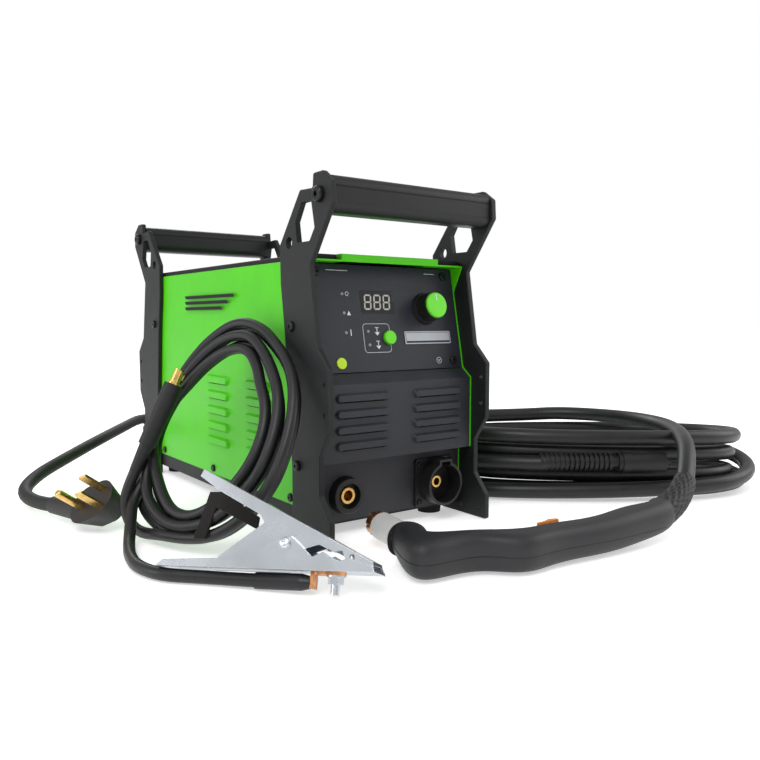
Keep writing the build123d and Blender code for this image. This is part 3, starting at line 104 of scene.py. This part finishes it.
# ---------------------------------------------------------------- materials
def material(name, base, rough, metallic=0.0, tint=0.12, tint_scale=40, grain=0.0, grain_scale=900,
             rough_spread=0.08, coat=0.0, sheen=0.0, specular=0.5, edge=0.0005, wear=0.0):
    """A surface whose colour, roughness and fine relief vary by noise."""
    made = bpy.data.materials.new(name)
    made.use_nodes = True
    tree = made.node_tree
    shader = tree.nodes["Principled BSDF"]
    coords = tree.nodes.new("ShaderNodeTexCoord")
    cloud = tree.nodes.new("ShaderNodeTexNoise")
    cloud.inputs["Scale"].default_value = tint_scale
    cloud.inputs["Detail"].default_value = 5
    tree.links.new(coords.outputs["Object"], cloud.inputs["Vector"])
    ramp = tree.nodes.new("ShaderNodeValToRGB")
    ramp.color_ramp.elements[0].position = 0.3
    ramp.color_ramp.elements[1].position = 0.7
    ramp.color_ramp.elements[0].color = [c * (1 - tint) for c in base] + [1]
    ramp.color_ramp.elements[1].color = [min(1, c * (1 + tint)) for c in base] + [1]
    tree.links.new(cloud.outputs["Fac"], ramp.inputs["Fac"])
    tree.links.new(ramp.outputs["Color"], shader.inputs["Base Color"])
    spread = tree.nodes.new("ShaderNodeMapRange")
    spread.inputs["To Min"].default_value = max(0.03, rough - rough_spread)
    spread.inputs["To Max"].default_value = min(1, rough + rough_spread)
    tree.links.new(cloud.outputs["Fac"], spread.inputs["Value"])
    tree.links.new(spread.outputs["Result"], shader.inputs["Roughness"])
    shader.inputs["Metallic"].default_value = metallic
    shader.inputs["Coat Weight"].default_value = coat
    shader.inputs["Coat Roughness"].default_value = 0.12
    shader.inputs["Sheen Weight"].default_value = sheen
    shader.inputs["Specular IOR Level"].default_value = specular
    bevel = tree.nodes.new("ShaderNodeBevel")
    bevel.samples = 3
    bevel.inputs["Radius"].default_value = edge
    tree.links.new(bevel.outputs["Normal"], shader.inputs["Normal"])
    if wear:
        geometry = tree.nodes.new("ShaderNodeNewGeometry")
        edges = tree.nodes.new("ShaderNodeVectorMath")
        edges.operation = "DOT_PRODUCT"
        tree.links.new(bevel.outputs["Normal"], edges.inputs[0])
        tree.links.new(geometry.outputs["Normal"], edges.inputs[1])
        worn = tree.nodes.new("ShaderNodeMapRange")
        worn.inputs["From Min"].default_value = 0.93
        worn.inputs["From Max"].default_value = 0.75
        worn.inputs["To Max"].default_value = wear
        tree.links.new(edges.outputs["Value"], worn.inputs["Value"])
        mix = tree.nodes.new("ShaderNodeMix")
        mix.data_type = "RGBA"
        tree.links.new(worn.outputs["Result"], mix.inputs["Factor"])
        tree.links.new(ramp.outputs["Color"], mix.inputs["A"])
        mix.inputs["B"].default_value = (0.32, 0.33, 0.34, 1)
        tree.links.new(mix.outputs["Result"], shader.inputs["Base Color"])
    if grain:
        fine = tree.nodes.new("ShaderNodeTexNoise")
        fine.inputs["Scale"].default_value = grain_scale
        fine.inputs["Detail"].default_value = 3
        tree.links.new(coords.outputs["Object"], fine.inputs["Vector"])
        bump = tree.nodes.new("ShaderNodeBump")
        bump.inputs["Strength"].default_value = grain
        bump.inputs["Distance"].default_value = 0.0004
        tree.links.new(fine.outputs["Fac"], bump.inputs["Height"])
        tree.links.new(bevel.outputs["Normal"], bump.inputs["Normal"])
        tree.links.new(bump.outputs["Normal"], shader.inputs["Normal"])
    return made


# each look: base colour, roughness, and what differs from the material's usual values
LOOKS = {
    "black_sheet": ((0.008, 0.008, 0.009), 0.55, dict(grain=0.3, specular=0.3)),
    "rubber": ((0.011, 0.011, 0.011), 0.8, dict(grain=0.4, specular=0.25)),
    "frame_black": ((0.0075, 0.008, 0.009), 0.52, dict(grain=0.4, grain_scale=1600, tint=0.2,
                                                       specular=0.32, wear=0.12)),
    "handle_black": ((0.006, 0.006, 0.007), 0.45, dict(grain=0.3, grain_scale=1400, specular=0.35)),
    "black_screw": ((0.012, 0.012, 0.013), 0.35, dict(metallic=0.5)),
    "green_paint": ((0.066, 0.50, 0.0008), 0.4, dict(grain=0.15, grain_scale=1300, tint=0.05,
                                                     specular=0.28)),
    "rail_black": ((0.008, 0.008, 0.009), 0.7, dict(grain=0.4, specular=0.25)),
    "panel_overlay": ((0.0125, 0.0145, 0.021), 0.5, dict(grain=0.25, grain_scale=1500, specular=0.4)),
    "panel_grey": ((0.0165, 0.0175, 0.022), 0.5, dict(grain=0.4, grain_scale=1400, tint=0.16,
                                                      specular=0.4)),
    "display": ((0.003, 0.003, 0.0035), 0.12, dict(coat=0.3, tint=0.02)),
    "green_button": ((0.10, 0.56, 0.004), 0.42, dict(grain=0.1, tint=0.05)),
    "knob_black": ((0.007, 0.007, 0.007), 0.5, dict(grain=0.2, specular=0.35)),
    "lamp": ((0.40, 0.62, 0.02), 0.3, dict(coat=0.3, tint=0.05)),
    "socket_plastic": ((0.007, 0.007, 0.0075), 0.42, dict(grain=0.25, grain_scale=1100, specular=0.4)),
    "brass": ((0.74, 0.49, 0.16), 0.27, dict(metallic=1.0, tint=0.2, tint_scale=220, grain=0.2,
                                             grain_scale=700)),
    "bare_alloy": ((0.55, 0.56, 0.57), 0.4, dict(metallic=1.0, grain=0.2)),
    "circuit_board": ((0.02, 0.12, 0.05), 0.45, dict(tint=0.3)),
    "air_hose": ((0.02, 0.05, 0.18), 0.35, {}),
    "cord_rubber": ((0.013, 0.012, 0.012), 0.6, dict(grain=0.3, grain_scale=700, specular=0.35)),
    "plug_plastic": ((0.012, 0.010, 0.009), 0.5, dict(grain=0.3, grain_scale=800, specular=0.4)),
    "cable_rubber": ((0.0095, 0.0095, 0.011), 0.42, dict(grain=0.25, grain_scale=420, tint=0.25,
                                                         rough_spread=0.12, specular=0.4)),
    "boot_rubber": ((0.0095, 0.0095, 0.010), 0.5, dict(grain=0.3, specular=0.35)),
    "strap_fabric": ((0.010, 0.008, 0.007), 0.95, dict(grain=0.9, grain_scale=2200, sheen=0.15,
                                                       specular=0.15)),
    "zinc_steel": ((0.60, 0.64, 0.68), 0.27, dict(metallic=1.0, tint=0.12, tint_scale=18, grain=0.12,
                                                  grain_scale=160, edge=0.0008)),
    "copper": ((0.62, 0.29, 0.13), 0.36, dict(metallic=1.0, tint=0.45, tint_scale=190, grain=0.35,
                                              grain_scale=500)),
    "torch_grip": ((0.0155, 0.0155, 0.0175), 0.5, dict(grain=0.5, grain_scale=1000, tint=0.1,
                                                       specular=0.4)),
    "orange_plastic": ((0.62, 0.20, 0.025), 0.45, dict(grain=0.15)),
    "cup_grey": ((0.50, 0.50, 0.485), 0.5, dict(grain=0.15, tint=0.05)),
}
MATERIALS = {name: material(name, base, rough, **extra) for name, (base, rough, extra) in LOOKS.items()}

# the status and mode lights are unlit and grey; the power light, lowest on the panel, is yellow-green
lamp_tree = MATERIALS["lamp"].node_tree
lamp_place = lamp_tree.nodes.new("ShaderNodeNewGeometry")
lamp_axes = lamp_tree.nodes.new("ShaderNodeSeparateXYZ")
lamp_tree.links.new(lamp_place.outputs["Position"], lamp_axes.inputs["Vector"])
lamp_low = lamp_tree.nodes.new("ShaderNodeMath")
lamp_low.operation = "LESS_THAN"
lamp_low.inputs[1].default_value = POWER_LAMP_TOP
lamp_tree.links.new(lamp_axes.outputs["Z"], lamp_low.inputs[0])
lamp_mix = lamp_tree.nodes.new("ShaderNodeMix")
lamp_mix.data_type = "RGBA"
lamp_mix.inputs["A"].default_value = (0.22, 0.22, 0.21, 1)
lamp_mix.inputs["B"].default_value = (0.42, 0.62, 0.01, 1)
lamp_tree.links.new(lamp_low.outputs["Value"], lamp_mix.inputs["Factor"])
lamp_tree.links.new(lamp_mix.outputs["Result"], lamp_tree.nodes["Principled BSDF"].inputs["Base Color"])
for entry in frame["record"]["subparts"]:
    node = nodes[entry["node"]]
    node.data.materials.clear()
    node.data.materials.append(MATERIALS[entry["material_slot"]])

STRIPE = material("pale_print", (0.55, 0.56, 0.56), 0.5, tint=0.05)
SEGMENT = material("display_segment", (0.42, 0.40, 0.37), 0.4, tint=0.04)
LABEL = material("name_plate_face", (0.33, 0.35, 0.38), 0.35, tint=0.06, coat=0.3)
floor = build_stage()
FLOOR = material("floor", (0.88, 0.88, 0.88), 0.7, tint=0.01)
floor_shader = FLOOR.node_tree.nodes["Principled BSDF"]
floor_shader.inputs["Emission Color"].default_value = (1, 1, 1, 1)
floor_shader.inputs["Emission Strength"].default_value = FLOOR_GLOW
floor.data.materials.append(FLOOR)


# ---------------------------------------------------------------- mesh and curve helpers
def finish_piece(piece, slot, body="unit", smooth=True, skin=None):
    bpy.context.scene.collection.objects.link(piece)
    piece.data.materials.append(skin or MATERIALS[slot])
    if piece.type == "MESH" and smooth:
        for polygon in piece.data.polygons:
            polygon.use_smooth = True
    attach(piece, body)
    return piece


def from_bmesh(name, work):
    mesh = bpy.data.meshes.new(name)
    bmesh.ops.recalc_face_normals(work, faces=work.faces)
    work.to_mesh(mesh)
    work.free()
    return bpy.data.objects.new(name, mesh)


def add_rings(work, rings):
    """A closed skin over a row of rings with the same number of points each."""
    sides = len(rings[0])
    for low, high in zip(rings, rings[1:]):
        for k in range(sides):
            work.faces.new((low[k], low[(k + 1) % sides], high[(k + 1) % sides], high[k]))
    work.faces.new(rings[0])
    work.faces.new(rings[-1])


def cord_curve(name, route, diameter, slot):
    """A round cord along one NURBS spline whose control points are the route's."""
    curve = bpy.data.curves.new(name, "CURVE")
    curve.dimensions = "3D"
    curve.bevel_depth = diameter / 2
    curve.bevel_resolution = 6
    curve.resolution_u = 5
    curve.use_fill_caps = True
    spline = curve.splines.new("NURBS")
    spline.points.add(len(route) - 1)
    for point, place in zip(spline.points, route):
        point.co = (*place, 1)
    spline.order_u = 3
    spline.use_endpoint_u = True
    return finish_piece(bpy.data.objects.new(name, curve), slot)


# ---------------------------------------------------------------- mains cord
POWER_CORD_D = 0.013
COIL_R = 75.0
COIL_X, COIL_Y = 60.0, 630.0
COIL_TURNS = 2.748
COIL_STEPS = 44
GLAND_MOUTH = at(5, 433, 45)


def power_coil():
    """Neat turns, climbing one diameter each, from the case's side round to the front of the coil."""
    points = []
    for step in range(COIL_STEPS + 1):
        turn = COIL_TURNS * step / COIL_STEPS
        angle = pi - turn * tau
        height = 6.5 + 13.1 * min(2.0, max(0.0, turn - 0.2) * 0.92)
        points.append(at(COIL_X + COIL_R * cos(angle), COIL_Y + COIL_R * sin(angle), height))
    return points


power_route = [GLAND_MOUTH, at(5, 467, 45), at(-2, 502, 31), at(-15, 544, 6.5), at(-15, 590, 6.5)]
power_route += power_coil()
power_route += [at(12, 553.6, 39.5), at(-50.6, 552, 48.5), at(-100, 482, 46), at(-154, 411, 42),
                at(-203, 361, 33), at(-235, 337, 24), at(-257, 304, 15.5), at(-252, 268, 10.5),
                at(-241.2, 241.6, 12.3)]
power_cord = cord_curve("mains_cord", power_route, POWER_CORD_D, "cord_rubber")
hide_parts("power_cord", "power_cord_tail", "power_cord_coil")

# ---------------------------------------------------------------- work lead
GROUND_D = 0.0095
COIL_OUTER = [(23, 206), (-25, 184), (-69, 142), (-80, 94), (-77, 52), (-45, 12), (0, 0), (45, 1),
              (83, 14), (107, 60), (86, 136), (60, 184)]
COIL_INNER = [(10, 168), (-22, 133), (-32, 60), (9, 24), (49, 66), (54, 132)]
COIL_MID = (12.0, 95.0)
coil_origin = at(-183.5, 67.4, 6.5)
coil_out = Vector((0.852, 0.258, -0.455)).normalized()
coil_across = Vector((-0.290, 0.957, 0))
coil_across = (coil_across - coil_across.dot(coil_out) * coil_out).normalized()
coil_up = coil_out.cross(coil_across)


def on_coil(u, v, out):
    return coil_origin + (coil_across * u + coil_up * v - coil_out * out) * MM


def reach(outline, angle):
    """Distance from the coil's middle to an outline, in one direction."""
    mid_u, mid_v = COIL_MID
    polar = sorted((atan2(v - mid_v, u - mid_u) % tau, hypot(u - mid_u, v - mid_v)) for u, v in outline)
    place = bisect.bisect([corner[0] for corner in polar], angle % tau)
    low = polar[place - 1]
    high = polar[place % len(polar)]
    share = ((angle - low[0]) % tau) / ((high[0] - low[0]) % tau)
    return low[1] + (high[1] - low[1]) * share


def smooth_step(value):
    value = min(1.0, max(0.0, value))
    return value * value * (3 - 2 * value)


# each turn: share of the way from the inner to the outer outline, and distance out towards the viewer
GROUND_LANES = [(0.98, 2.5), (0.12, 3.6), (0.55, 4.6), (0.86, -5.0), (0.36, -4.8), (0.96, 4.6)]


def ground_coil(start, end, steps_per_turn=20):
    points = []
    total = end - start
    steps = int(abs(total) / tau * steps_per_turn)
    for step in range(steps + 1):
        angle = start + total * step / steps
        turn = abs(total) / tau * step / steps
        index = min(int(turn), len(GROUND_LANES) - 2)
        blend = smooth_step((turn - index - 0.55) / 0.45)
        share = GROUND_LANES[index][0] * (1 - blend) + GROUND_LANES[index + 1][0] * blend
        out = GROUND_LANES[index][1] * (1 - blend) + GROUND_LANES[index + 1][1] * blend
        near, far = reach(COIL_INNER, angle) + 4.0, reach(COIL_OUTER, angle) - 4.0
        radius = near + (far - near) * share
        points.append(on_coil(COIL_MID[0] + radius * cos(angle), COIL_MID[1] + radius * sin(angle), out))
    return points


clamp_origin = at(-135.9, -84.5, 15.5)
clamp_w = Vector((-0.740, -0.535, 0.407)).normalized()
clamp_u = Vector((0.6077, -0.7916, 0.0637))
clamp_u = (clamp_u - clamp_u.dot(clamp_w) * clamp_w).normalized()
clamp_v = clamp_w.cross(clamp_u)


def on_clamp(u, v, w):
    return clamp_origin + (clamp_u * u + clamp_v * v + clamp_w * w) * MM


boot_end = on_coil(74.5, 47.3, 14.2)
plug_tip = on_coil(57.9, 141.3, 20.2)
plug_axis = (plug_tip - boot_end).normalized()
work_route = [boot_end, boot_end - plug_axis * 0.016, on_coil(79, 17, 8), on_coil(70, 4, 2),
              on_coil(54, 0, -1)]
work_route += ground_coil(radians(-80), radians(-20 - 360 * 5))
work_route += [on_coil(74, 58, 0), on_coil(74, 43, 3), on_coil(70.7, 21.2, 7.6), on_coil(56, 6, 13.4)]
work_route += [at(-217, 98, 5.4), at(-226, 68, 5.2), at(-230, 40, 5.2),
               on_clamp(-130, -5.9, 8), on_clamp(-95, -6.2, 3), on_clamp(-58, -6.9, 1),
               on_clamp(-40, -6.9, 1)]
work_cable = cord_curve("work_lead", work_route, GROUND_D, "cable_rubber")
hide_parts("ground_cable_coil")

# ---------------------------------------------------------------- torch lead
TORCH_D = 0.016
lead_across = Vector((0.808, -0.589, 0)).normalized()
lead_back = Vector((0, 0, 1)).cross(lead_across)


def on_lead(across, back, height):
    return at(287, 56, 0) + (lead_across * across + lead_back * back + Vector((0, 0, height))) * MM


# each turn: half length, half width and height of its middle
LEAD_LANES = [(172, 92, 66), (166, 84, 50), (162, 78, 26), (166, 82, 9.5), (188, 99, 8.2), (183, 97.5, 38.5)]


def lead_lane(half_length, half_width, turn_angle):
    """A point of an oval halfway between an ellipse and a stadium, where the outward way is at one angle."""
    c, s = cos(turn_angle), sin(turn_angle)
    across = hypot(half_length * c, half_width * s)
    flat = (half_length - half_width) * max(-1.0, min(1.0, 3 * c))
    along = 0.5 * half_length ** 2 * c / across + 0.5 * (flat + half_width * c)
    return along, 0.5 * half_width ** 2 * s / across + 0.5 * half_width * s


def lead_coil(start, end, steps_per_turn=20):
    points = []
    steps = int((end - start) / tau * steps_per_turn)
    for step in range(steps + 1):
        angle = start + (end - start) * step / steps
        turn = (angle - start) / tau
        index = min(int(turn), len(LEAD_LANES) - 2)
        blend = smooth_step((turn - index - 0.35) / 0.65)
        half_length, half_width, height = (
            a * (1 - blend) + b * blend for a, b in zip(LEAD_LANES[index], LEAD_LANES[index + 1]))
        points.append(on_lead(*lead_lane(half_length, half_width, angle), height))
    return points


RELIEF_MOUTH = at(210, -124, 40.5)
torch_route = [RELIEF_MOUTH, at(240, -108, 60.5), at(276, -80, 68.6)]
torch_route += [on_lead(a, b, 68.6) for a, b in ((85, -62), (88, -12), (72, 36), (36, 70), (-8, 88))]
torch_route += lead_coil(radians(98), radians(259 + 360 * 5))
torch_route += [on_lead(-62, -94.5, 40.2), on_lead(-50, -93, 40.25), on_lead(-38, -93, 40.25)]
torch_cable = cord_curve("torch_lead", torch_route, TORCH_D, "cable_rubber")
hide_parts("torch_cable", "torch_cable_coil")


# ---------------------------------------------------------------- control panel print and display
panel_normal = Vector((0, -0.98058, 0.19612))
panel_up = Vector((0, 0.19612, 0.98058))
PANEL_ORIGIN = at(0, 42, 195.5)
PRINT_LIFT = 0.03
PRINT_DEPTH = 0.06


def on_panel(x, up, out=0.0):
    return PANEL_ORIGIN + Vector((x * MM, 0, 0)) + (panel_up * up + panel_normal * out) * MM


def front_of(node, normal, origin):
    """How far a node reaches along a normal past an origin, in millimetres."""
    thing = nodes[node]
    return max((thing.matrix_world @ v.co - origin).dot(normal) for v in thing.data.vertices) / MM


def add_slab(work, outline, place, depth):
    """A thin slab over an outline; place turns (x, up, out) into a point."""
    back = [work.verts.new(place(x, up, 0)) for x, up in outline]
    front = [work.verts.new(place(x, up, depth)) for x, up in outline]
    work.faces.new(front)
    work.faces.new(back[::-1])
    for i in range(len(outline)):
        j = (i + 1) % len(outline)
        work.faces.new((back[i], back[j], front[j], front[i]))


def bar(x0, y0, x1, y1, width):
    """The outline of a straight stroke."""
    length = hypot(x1 - x0, y1 - y0)
    px, py = -(y1 - y0) / length * width / 2, (x1 - x0) / length * width / 2
    return [(x0 + px, y0 + py), (x0 - px, y0 - py), (x1 - px, y1 - py), (x1 + px, y1 + py)]


def rounded(x0, y0, x1, y1, r, steps=5):
    """The outline of a rectangle with rounded corners, counter-clockwise."""
    points = []
    for cx, cy, start in ((x1 - r, y1 - r, 0), (x0 + r, y1 - r, 90),
                          (x0 + r, y0 + r, 180), (x1 - r, y0 + r, 270)):
        angles = [radians(start + 90 * k / steps) for k in range(steps + 1)]
        points += [(cx + r * cos(angle), cy + r * sin(angle)) for angle in angles]
    return points


def add_outline(work, points, width, place, depth):
    for (x0, y0), (x1, y1) in zip(points, points[1:] + points[:1]):
        if hypot(x1 - x0, y1 - y0) > 0.01:
            add_slab(work, bar(x0, y0, x1, y1, width), place, depth)


panel_out = front_of("control_panel", panel_normal, PANEL_ORIGIN)
display_out = front_of("display_window", panel_normal, PANEL_ORIGIN)


def segment(x0, y0, x1, y1, width):
    """A seven-segment bar with pointed ends."""
    length = hypot(x1 - x0, y1 - y0)
    ux, uy = (x1 - x0) / length, (y1 - y0) / length
    half = width / 2
    px, py = -uy * half, ux * half
    return [(x0, y0), (x0 + ux * half + px, y0 + uy * half + py), (x1 - ux * half + px, y1 - uy * half + py),
            (x1, y1), (x1 - ux * half - px, y1 - uy * half - py), (x0 + ux * half - px, y0 + uy * half - py)]


def display_place(x, up, out):
    return on_panel(-9.8 + x + 0.08 * up, 5.6 + up, display_out + 0.04 + out)


work = bmesh.new()
for middle in (-10.2, 0.0, 10.2):
    for x0, y0, x1, y1 in ((-3, 6.2, 3, 6.2), (-3, 0, 3, 0), (-3, -6.2, 3, -6.2), (-3.2, 0.2, -3.2, 6.0),
                           (3.2, 0.2, 3.2, 6.0), (-3.2, -6.0, -3.2, -0.2), (3.2, -6.0, 3.2, -0.2)):
        add_slab(work, segment(middle + x0, y0, middle + x1, y1, 1.5), display_place, PRINT_DEPTH)
finish_piece(from_bmesh("display_digits", work), "display", smooth=False, skin=SEGMENT)


def panel_place(x, up, out):
    """A point of the panel's print."""
    return on_panel(x, up, panel_out + PRINT_LIFT + out)


work = bmesh.new()
add_outline(work, rounded(-28.4, -39.3, 0.2, -13.8, 3.2), 0.45, panel_place, PRINT_DEPTH)
for up in (-20.4, -32.5):                               # two small arrow marks beside the mode lights
    add_slab(work, bar(-15.5, up + 3.2, -11.5, up + 3.2, 0.7), panel_place, PRINT_DEPTH)
    add_slab(work, bar(-13.5, up + 3.2, -13.5, up - 1.2, 0.8), panel_place, PRINT_DEPTH)
    add_slab(work, [(-16.2, up - 0.8), (-10.8, up - 0.8), (-13.5, up - 4.0)], panel_place, PRINT_DEPTH)
add_outline(work, [(-41.2 + 1.9 * cos(k), 12.7 + 1.9 * sin(k)) for k in (0.3, 1.5, 2.7, 3.9, 5.1)], 0.5,
            panel_place, PRINT_DEPTH)
add_slab(work, [(-43.2, -6.2), (-39.2, -6.2), (-41.2, -2.2)], panel_place, PRINT_DEPTH)
add_slab(work, bar(-41.2, -24.2, -41.2, -18.6, 0.9), panel_place, PRINT_DEPTH)
add_slab(work, bar(-60, 33.2, -38, 33.2, 0.6), panel_place, PRINT_DEPTH)
add_slab(work, bar(48, 33.2, 60, 33.2, 0.6), panel_place, PRINT_DEPTH)
add_outline(work, [(53.9 + 2.8 * cos(tau * k / 14), -48.4 + 2.8 * sin(tau * k / 14)) for k in range(14)],
            0.45, panel_place, PRINT_DEPTH)
for up, half in ((-47.9, 1.7), (-48.9, 1.1), (-49.8, 0.5)):
    add_slab(work, bar(53.9 - half, up, 53.9 + half, up, 0.35), panel_place, PRINT_DEPTH)
finish_piece(from_bmesh("panel_marks", work), "panel_overlay", smooth=False, skin=STRIPE)

work = bmesh.new()
add_slab(work, rounded(16.4, -32.7, 70.4, -21.0, 1.0), panel_place, 0.7)
finish_piece(from_bmesh("blank_label_plate", work), "panel_overlay", smooth=False, skin=LABEL)


def plate_place(x, up, out):
    """A point just above the blank label plate."""
    return panel_place(x, up, 0.72 + out)


work = bmesh.new()
add_outline(work, rounded(17.6, -31.5, 69.2, -22.2, 0.7), 0.35, plate_place, 0.05)
add_slab(work, bar(17.9, -30.6, 68.9, -30.6, 1.5), plate_place, 0.05)
finish_piece(from_bmesh("label_plate_rule", work), "panel_overlay", smooth=False)

cap_out = front_of("knob_cap", panel_normal, PANEL_ORIGIN)
work = bmesh.new()
add_slab(work, bar(44, 4.2, 44, 9.6, 1.1),
         lambda x, up, out: on_panel(x, up, cap_out + PRINT_LIFT + out), 0.08)
finish_piece(from_bmesh("knob_pointer", work), "green_button", body="current_dial", smooth=False, skin=STRIPE)

# ---------------------------------------------------------------- plain stripes on the cover's sides
for side, name in ((-1, "left"), (1, "right")):
    outside = side * front_of("cover_shell", Vector((side, 0, 0)), Vector((0, 0, 0)))
    work = bmesh.new()
    far = 298
    for near, up in ((176, 211.0), (190, 205.0), (204, 199.0)):
        add_slab(work, [(near, up), (far, up), (far - 3, up - 3.4), (near - 3, up - 3.4)],
                 lambda y, z, out: at(outside + side * (PRINT_LIFT + out), y, z), PRINT_DEPTH)
    finish_piece(from_bmesh("side_stripes_" + name, work), "rail_black", smooth=False)

# ---------------------------------------------------------------- torch: knurled strain relief, parting line
GRIP_END = at(158.5, -134, 22.0)
RELIEF_STEPS = 84
RELIEF_SIDES = 112


def tube_frames(a, b, c, steps):
    """Points on a curve from a to c that bends towards b, each with its two cross directions."""
    frames = []
    for step in range(steps + 1):
        t = step / steps
        place = (1 - t) ** 2 * a + 2 * t * (1 - t) * b + t * t * c
        way = (2 * (1 - t) * (b - a) + 2 * t * (c - b)).normalized()
        side = way.cross(Vector((0, 0, 1))).normalized()
        frames.append((place, side, side.cross(way)))
    return frames


work = bmesh.new()
rings = []
relief_frames = tube_frames(GRIP_END, at(188, -134.5, 28.5), at(212, -122.5, 41.8), RELIEF_STEPS)
for index, (place, side, top) in enumerate(relief_frames):
    t = index / RELIEF_STEPS
    ring = []
    for k in range(RELIEF_SIDES):
        angle = tau * k / RELIEF_SIDES
        lattice = abs(sin(7 * angle + 16 * t)) * abs(sin(7 * angle - 16 * t))
        fade = min(1, 12 * t, 12 * (1 - t))
        radius = 12.5 - 3.2 * t + fade * (0.5 - 1.1 * lattice ** 0.6)
        ring.append(work.verts.new(place + (side * cos(angle) + top * sin(angle)) * radius * MM))
    rings.append(ring)
add_rings(work, rings)
relief = finish_piece(from_bmesh("torch_relief_knurled", work), "boot_rubber")
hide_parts("torch_strain_relief")

grip = nodes["torch_body"]
grip_tree = BVHTree.FromPolygons([grip.matrix_world @ v.co for v in grip.data.vertices],
                                 [tuple(p.vertices) for p in grip.data.polygons])
# pairs of points on the grip's near and far side, between which the parting line's rays run
PARTING = [((-70, -60), (-42, -62)), ((-75, -80), (-43, -72)), ((-79, -98), (-46, -74)),
           ((-76, -110), (-46, -82)), ((-62, -114), (-40, -84)), ((-47, -112), (-31, -87)),
           ((-18, -128), (-7, -100)), ((12, -140), (21, -112)), ((38, -141), (44, -112)),
           ((68, -146), (71, -117)), ((98, -149), (99, -119)), ((129, -151), (129, -120)),
           ((152, -150), (151, -121))]
PARTING_HEIGHT = 14.5
seams = bpy.data.curves.new("grip_parting_line", "CURVE")
seams.dimensions = "3D"
seams.bevel_depth = 0.00028
for reach_from, reach_to in ((0, 1), (1, 0)):
    line = []
    for (a, b), (c, d) in zip(PARTING, PARTING[1:]):
        for k in range(6):
            share = k / 6
            ends = [at(p[0] * (1 - share) + q[0] * share, p[1] * (1 - share) + q[1] * share, PARTING_HEIGHT)
                    for p, q in ((a, c), (b, d))]
            way = (ends[reach_to] - ends[reach_from]).normalized()
            spot = grip_tree.ray_cast(ends[reach_from] - way * 0.02, way)[0]
            if spot:
                line.append(spot)
    spline = seams.splines.new("POLY")
    spline.points.add(len(line) - 1)
    for point, place in zip(spline.points, line):
        point.co = (*place, 1)
finish_piece(bpy.data.objects.new("grip_parting_line", seams), "knob_black")

# ---------------------------------------------------------------- mains cord: strain relief at the gland
SLEEVE_STEPS = 52
SLEEVE_SIDES = 32
work = bmesh.new()
rings = []
for step in range(SLEEVE_STEPS + 1):
    t = step / SLEEVE_STEPS
    groove = 0.55 if 0.12 < t < 0.94 and int(t * 26) % 2 else 0.0
    radius = 10.4 - 3.4 * t - groove
    sag = -0.4 * t * t
    rings.append([work.verts.new(at(5 + radius * cos(tau * k / SLEEVE_SIDES), 433.2 + 27 * t,
                                    45 + sag + radius * sin(tau * k / SLEEVE_SIDES)))
                  for k in range(SLEEVE_SIDES)])
add_rings(work, rings)
finish_piece(from_bmesh("mains_strain_relief", work), "boot_rubber", smooth=False)

# ---------------------------------------------------------------- clamp: rivet heads on the pivot
pin = nodes["clamp_pivot_pin"]
pin_ends = [(pin.matrix_world @ v.co - clamp_origin).dot(clamp_w) for v in pin.data.vertices]
RIVET_SIDES = 28
work = bmesh.new()
for end, way in ((max(pin_ends), 1), (min(pin_ends), -1)):
    rings = []
    for radius, height in ((3.7, 0.0), (3.6, 0.5), (2.9, 1.05), (1.8, 1.35), (1.4, 0.9), (0.1, 0.8)):
        rings.append([work.verts.new(on_clamp(-33.7 + radius * cos(tau * k / RIVET_SIDES),
                                              17.5 + radius * sin(tau * k / RIVET_SIDES),
                                              end / MM + way * height)) for k in range(RIVET_SIDES)])
    add_rings(work, rings)
finish_piece(from_bmesh("pivot_rivet_heads", work), "zinc_steel")
